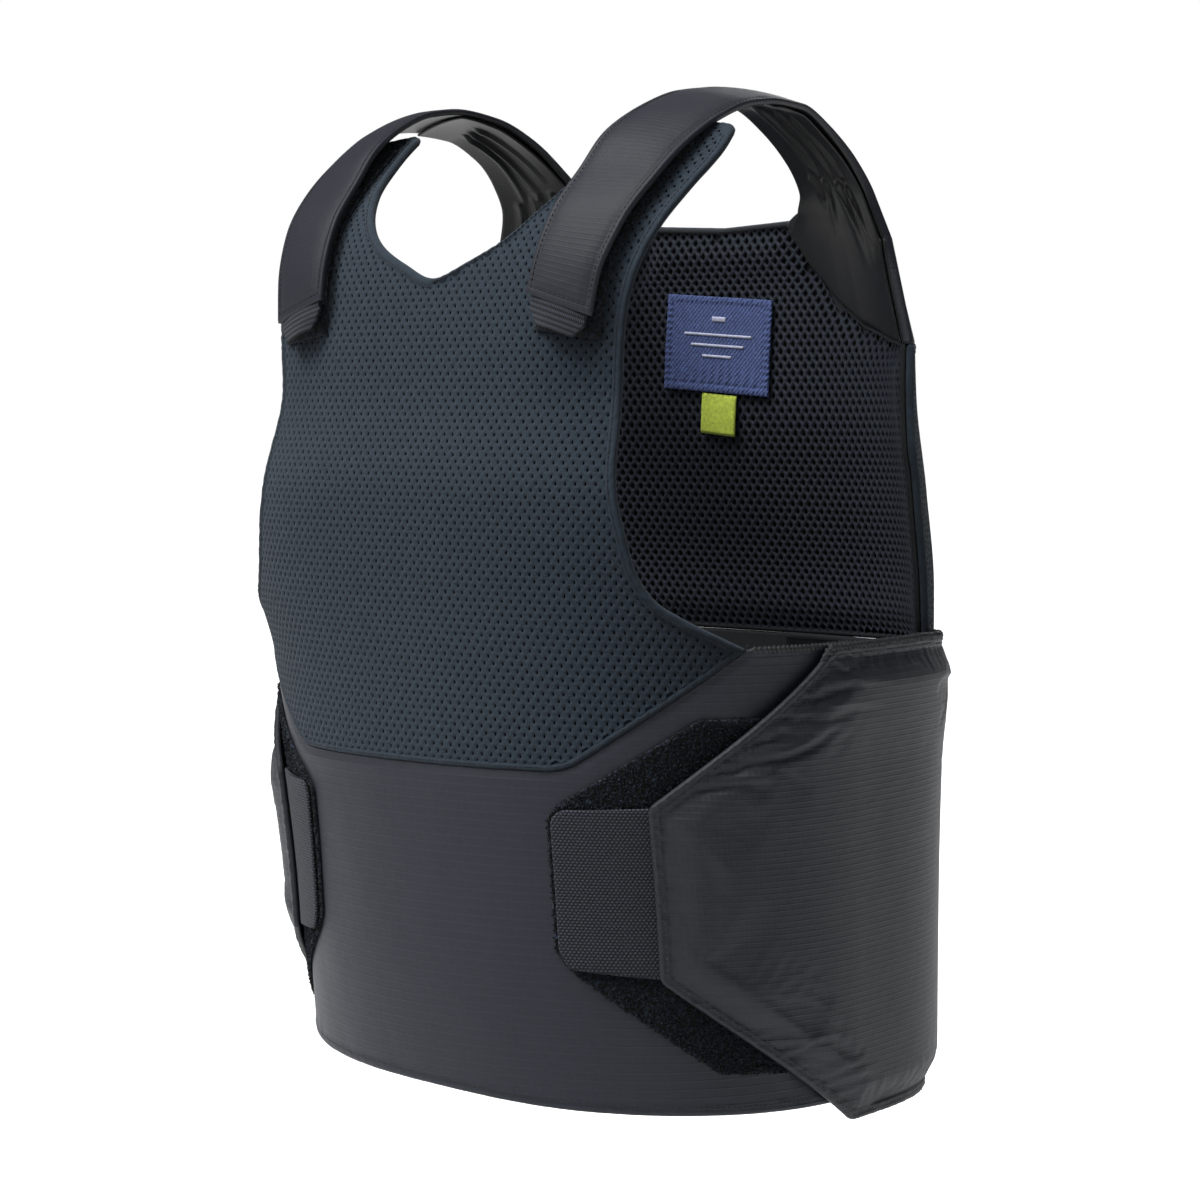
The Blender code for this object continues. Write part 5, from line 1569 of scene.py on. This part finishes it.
def build_label():
    """Woven label with a folded border and plain bars, and the bare tag below it."""
    width, height = LABEL_SIZE
    u = np.linspace(-0.5, 0.5, 97)
    v = np.linspace(-0.5, 0.5, 71)
    a, b = np.meshgrid(u * width, v * height)
    across, down = turned(a, b, LABEL_TURN)
    rim = np.minimum(width / 2 - np.abs(a), height / 2 - np.abs(b))
    border = 0.0050
    seam = np.exp(-((rim - border) / 0.0008) ** 2)
    low = ease((-b - height * 0.12) / (height * 0.34))
    folds = np.sin(a * tau / 0.0075 + 0.8 * np.sin(a * 90.0)) * low * 0.0006
    along = np.where(height / 2 - np.abs(b) < border, a, b)
    crease = (0.5 + 0.5 * np.sin(along * tau / 0.0042)) * (1.0 - ease((rim - border) / 0.001)) * 0.0007
    depth = PANEL_THICK + LINING_THICK + 0.0026 + 0.0004 * ease(rim / 0.002) - 0.0006 * seam
    depth = depth + folds * ease((rim - border) / 0.003) + crease
    face = label_point(across, down, depth)
    back = label_point(across, down, depth - 0.0010)
    flat = np.stack((a, b), axis=-1)
    label = slab("label_woven", face, back, flat)
    dress(label, "label_cloth", ["label"])
    for number, (rise, length, tall) in enumerate(LABEL_BARS):
        p = np.linspace(-length / 2, length / 2, 40)
        q = np.linspace(-tall / 2, tall / 2, 5)
        x, y = np.meshgrid(p, q + rise)
        dome = np.sqrt(np.maximum(0.0, 1.0 - (2.0 * (y - rise) / tall) ** 2))
        lift = 0.0004 * dome * (0.8 + 0.2 * np.sin(x * tau / 0.0009))
        across, down = turned(x, y, LABEL_TURN)
        deep = PANEL_THICK + LINING_THICK + 0.0030
        bar = slab(f"label_bar_{number + 1}", label_point(across, down, deep + lift + 0.0003),
                   label_point(across, down, deep - 0.0004), np.stack((x, y), axis=-1))
        dress(bar, "label_thread")
    p = np.linspace(-0.5, 0.5, 15) * TAG_SIZE[0] + 0.0030
    q = -TAG_DOWN - np.linspace(0.0, 1.0, 13) * TAG_SIZE[1]
    x, y = np.meshgrid(p, q)
    across, down = turned(x, y, TAG_TURN)
    hang = (-y - TAG_DOWN) / TAG_SIZE[1]
    deep = PANEL_THICK + LINING_THICK + 0.0022 + 0.0012 * hang + 0.0004 * np.sin(x * 150.0) * hang
    tag = slab("size_tag_cloth", label_point(across, down, deep), label_point(across, down, deep - 0.0008),
               np.stack((x, y), axis=-1))
    dress(tag, "tag_cloth", ["size_tag"])


def build_stitching():
    """Every remembered line of stitches: dark thread in one piece, the wings' bright dots in another."""
    sizes = bpy.context.scene.vest_sizes
    kinds = (("plain", "stitching", 0.72, 1.0, "thread"),
             ("bright", "wing_stitching", 0.30, 0.75, "bright_thread"))
    for kind, name, length, thick, finish in kinds:
        points, edges = [], []
        for line in STITCH_LINES[kind]:
            start = len(points)
            points += line.tolist()
            edges += [(start + i, start + i + 1) for i in range(len(line) - 1)]
        mesh = bpy.data.meshes.new(name)
        mesh.from_pydata(points, edges, [])
        piece = bpy.data.objects.new(name, mesh)
        bpy.context.scene.collection.objects.link(piece)
        run_tree(piece, TREES["stitches"], {
            "Pitch": sizes.stitch_pitch, "Length": sizes.stitch_pitch * length,
            "Thickness": sizes.stitch_thickness * thick, "Thread": finish_of(finish)})
        dress(piece, None)


# Lamps: place, size and power; the sun's size is an angle
LAMPS = {
    "sky_light": ("SUN", (-0.9, -1.5, 2.3), radians(24.0), 2.5),
    "key": ("AREA", (-1.2, -2.4, 1.3), 1.2, 21.0),
    "rim": ("AREA", (2.4, -1.6, 0.9), 1.0, 2.0),
    "top": ("AREA", (0.2, -0.5, 2.4), 1.0, 27.0),
    "back": ("AREA", (-0.9, 2.8, 1.2), 1.4, 30.0),
}
LAMPS_AIM = (0.0, 0.0, -0.30)
FLOOR_DROP = 0.16
FLOOR_REACH = 14.0


def add_floor(scene):
    """Pale floor below the vest; it gives no bounced light."""
    low = CAD_BOX[0].z - FLOOR_DROP
    mesh = bpy.data.meshes.new("studio_floor")
    corners = [(x * FLOOR_REACH, y * FLOOR_REACH, low) for x, y in ((-1, -1), (1, -1), (1, 1), (-1, 1))]
    mesh.from_pydata(corners, [], [(0, 1, 2, 3)])
    floor = bpy.data.objects.new("studio_floor", mesh)
    scene.collection.objects.link(floor)
    mesh.materials.append(finish_of("studio_floor"))
    floor.visible_diffuse = False


def add_world(scene):
    """White backdrop for the camera, and a weak sky for everything else."""
    world = bpy.data.worlds.new("studio")
    world.use_nodes = True
    tree = world.node_tree
    seen = tree.nodes.new("ShaderNodeBackground")
    seen.inputs[0].default_value = (1.0, 1.0, 1.0, 1.0)
    seen.inputs[1].default_value = 1.0
    lit = tree.nodes["Background"]
    lit.inputs[0].default_value = (0.94, 0.97, 1.0, 1.0)
    lit.inputs[1].default_value = 0.08
    pick = tree.nodes.new("ShaderNodeMixShader")
    path = tree.nodes.new("ShaderNodeLightPath")
    tree.links.new(path.outputs["Is Camera Ray"], pick.inputs[0])
    tree.links.new(lit.outputs[0], pick.inputs[1])
    tree.links.new(seen.outputs[0], pick.inputs[2])
    tree.links.new(pick.outputs[0], tree.nodes["World Output"].inputs[0])
    scene.world = world


def add_lamps(scene):
    for name, (kind, place, size, power) in LAMPS.items():
        data = bpy.data.lights.new(name, kind)
        setattr(data, "angle" if kind == "SUN" else "size", size)
        data.energy = power
        lamp = bpy.data.objects.new(name, data)
        lamp.location = place
        lamp.rotation_euler = (Vector(LAMPS_AIM) - lamp.location).to_track_quat("-Z", "Y").to_euler()
        scene.collection.objects.link(lamp)


def add_camera(scene):
    data = bpy.data.cameras.new("camera")
    data.sensor_width = SENSOR
    data.lens = FOCAL_PIXELS / PICTURE * SENSOR
    data.shift_x = (PICTURE / 2 - AXIS_PIXEL) / PICTURE
    data.shift_y = (HORIZON_PIXEL - PICTURE / 2) / PICTURE
    camera = bpy.data.objects.new("camera", data)
    heading = Vector((-sin(CAMERA_TURN), cos(CAMERA_TURN), 0.0))
    camera.location = Vector((0.0, 0.0, CAMERA_HEIGHT)) - heading * CAMERA_DISTANCE
    camera.rotation_euler = heading.to_track_quat("-Z", "Y").to_euler()
    scene.collection.objects.link(camera)
    scene.camera = camera


def build_stage():
    """Pale floor, soft studio light and the camera."""
    scene = bpy.context.scene
    add_floor(scene)
    add_world(scene)
    add_lamps(scene)
    add_camera(scene)
    scene.view_settings.view_transform = "Standard"


# The add-on

class VestSizes(bpy.types.PropertyGroup):
    """Sizes that a user would change."""
    stitch_pitch: FloatProperty(
        name="Stitch Pitch", description="Distance from stitch to stitch", default=0.0033, min=0.0015,
        unit="LENGTH", subtype="DISTANCE")
    stitch_thickness: FloatProperty(
        name="Stitch Thickness", description="Thickness of the thread", default=0.00055, min=0.0002,
        unit="LENGTH", subtype="DISTANCE")
    pile_density: FloatProperty(name="Pile Density", description="Tufts of loop pile for each square metre",
                                default=540000.0, min=0.0)
    pile_seed: IntProperty(name="Pile Seed", description="Seed of the pile's scatter", default=7)


def colour(label, text, default):
    return FloatVectorProperty(name=label, description=text, default=default, subtype="COLOR", size=3,
                               min=0.0, max=1.0)


class VestColours(bpy.types.PropertyGroup):
    """Colours of the cloths."""
    mesh_cloth: colour("Mesh Cloth", "Perforated cloth of the upper panels", (0.0283, 0.0426, 0.0600))
    ripstop: colour("Ripstop", "Cloth of the lower panels", (0.0184, 0.0217, 0.0328))
    strap: colour("Strap", "Cloth of the shoulder straps", (0.0112, 0.0124, 0.0212))
    wing: colour("Wing", "Cloth of the side wings", (0.0150, 0.0176, 0.0240))
    spacer: colour("Spacer Mesh", "Open net inside the back", (0.0165, 0.0218, 0.0331))
    binding: colour("Binding", "Bound edges", (0.010, 0.012, 0.015))
    edging: colour("Edging", "Gathered edging of the waist", (0.0198, 0.0209, 0.0242))
    lining: colour("Lining", "Smooth lining of the shoulders", (0.0031, 0.0035, 0.0044))
    webbing: colour("Webbing", "Elastic and pull tabs", (0.0414, 0.0484, 0.0659))
    pile: colour("Pile", "Hook and loop pile", (0.0045, 0.0065, 0.0101))
    thread: colour("Thread", "Sewing thread", (0.008, 0.009, 0.011))
    bright_thread: colour("Needle Dots", "Bright stitches of the wings", (0.16, 0.165, 0.18))
    label: colour("Label", "Woven label", (0.0676, 0.1061, 0.2940))
    tag: colour("Tag", "Small bare tag", (0.640, 0.780, 0.100))


class VEST_OT_trees(bpy.types.Operator):
    """Make the geometry trees that perforate, stitch and grow pile"""
    bl_idname = "vest.trees"
    bl_label = "Make Trees"

    def execute(self, context):
        TREES["perforations"] = perforation_tree()
        TREES["stitches"] = stitch_tree()
        TREES["pile"] = pile_tree()
        return {"FINISHED"}


class VEST_OT_stage(bpy.types.Operator):
    """Make the floor, the lights and the camera"""
    bl_idname = "vest.stage"
    bl_label = "Make Stage"

    def execute(self, context):
        build_stage()
        return {"FINISHED"}


class VEST_OT_front(bpy.types.Operator):
    """Make the perforated upper front and the ripstop lower front"""
    bl_idname = "vest.front"
    bl_label = "Make Front"

    def execute(self, context):
        build_front_mesh()
        build_front_lower()
        return {"FINISHED"}


class VEST_OT_back(bpy.types.Operator):
    """Make the back panels and the spacer net inside them"""
    bl_idname = "vest.back"
    bl_label = "Make Back"

    def execute(self, context):
        build_back()
        return {"FINISHED"}


class VEST_OT_straps(bpy.types.Operator):
    """Make the shoulder straps, their hook strips, pull tabs and linings"""
    bl_idname = "vest.straps"
    bl_label = "Make Straps"

    def execute(self, context):
        build_straps()
        build_shoulder_linings()
        return {"FINISHED"}


class VEST_OT_piles(bpy.types.Operator):
    """Make the loop patches and the shoulder loop strips"""
    bl_idname = "vest.piles"
    bl_label = "Make Loop Pile"

    def execute(self, context):
        build_piles()
        return {"FINISHED"}


class VEST_OT_wings(bpy.types.Operator):
    """Make the side wings, their elastic tabs and bindings"""
    bl_idname = "vest.wings"
    bl_label = "Make Wings"

    def execute(self, context):
        build_wings()
        return {"FINISHED"}


class VEST_OT_inside(bpy.types.Operator):
    """Make the waist bands, the label and its tag"""
    bl_idname = "vest.inside"
    bl_label = "Make Bands and Label"

    def execute(self, context):
        build_waist_bands()
        build_label()
        return {"FINISHED"}


class VEST_OT_stitching(bpy.types.Operator):
    """Sew every stitch line"""
    bl_idname = "vest.stitching"
    bl_label = "Make Stitching"

    def execute(self, context):
        build_stitching()
        return {"FINISHED"}


STEPS = (VEST_OT_trees, VEST_OT_stage, VEST_OT_front, VEST_OT_back, VEST_OT_straps, VEST_OT_piles,
         VEST_OT_wings, VEST_OT_inside, VEST_OT_stitching)


class VEST_PT_panel(bpy.types.Panel):
    """Lists the vest's sizes, colours and making steps"""
    bl_label = "Vest"
    bl_idname = "VEST_PT_panel"
    bl_space_type = "VIEW_3D"
    bl_region_type = "UI"
    bl_category = "Vest"

    def draw(self, context):
        layout = self.layout
        for group in (context.scene.vest_sizes, context.scene.vest_colours):
            for name in group.__annotations__:
                layout.prop(group, name)
        for step in STEPS:
            layout.operator(step.bl_idname)


CLASSES = (VestSizes, VestColours, *STEPS, VEST_PT_panel)


def register():
    for cls in CLASSES:
        bpy.utils.register_class(cls)
    bpy.types.Scene.vest_sizes = PointerProperty(type=VestSizes)
    bpy.types.Scene.vest_colours = PointerProperty(type=VestColours)


def unregister():
    del bpy.types.Scene.vest_sizes
    del bpy.types.Scene.vest_colours
    for cls in reversed(CLASSES):
        bpy.utils.unregister_class(cls)


def main():
    register()
    for step in STEPS:
        group, name = step.bl_idname.split(".")
        getattr(getattr(bpy.ops, group), name)()


if __name__ == "__main__":
    main()
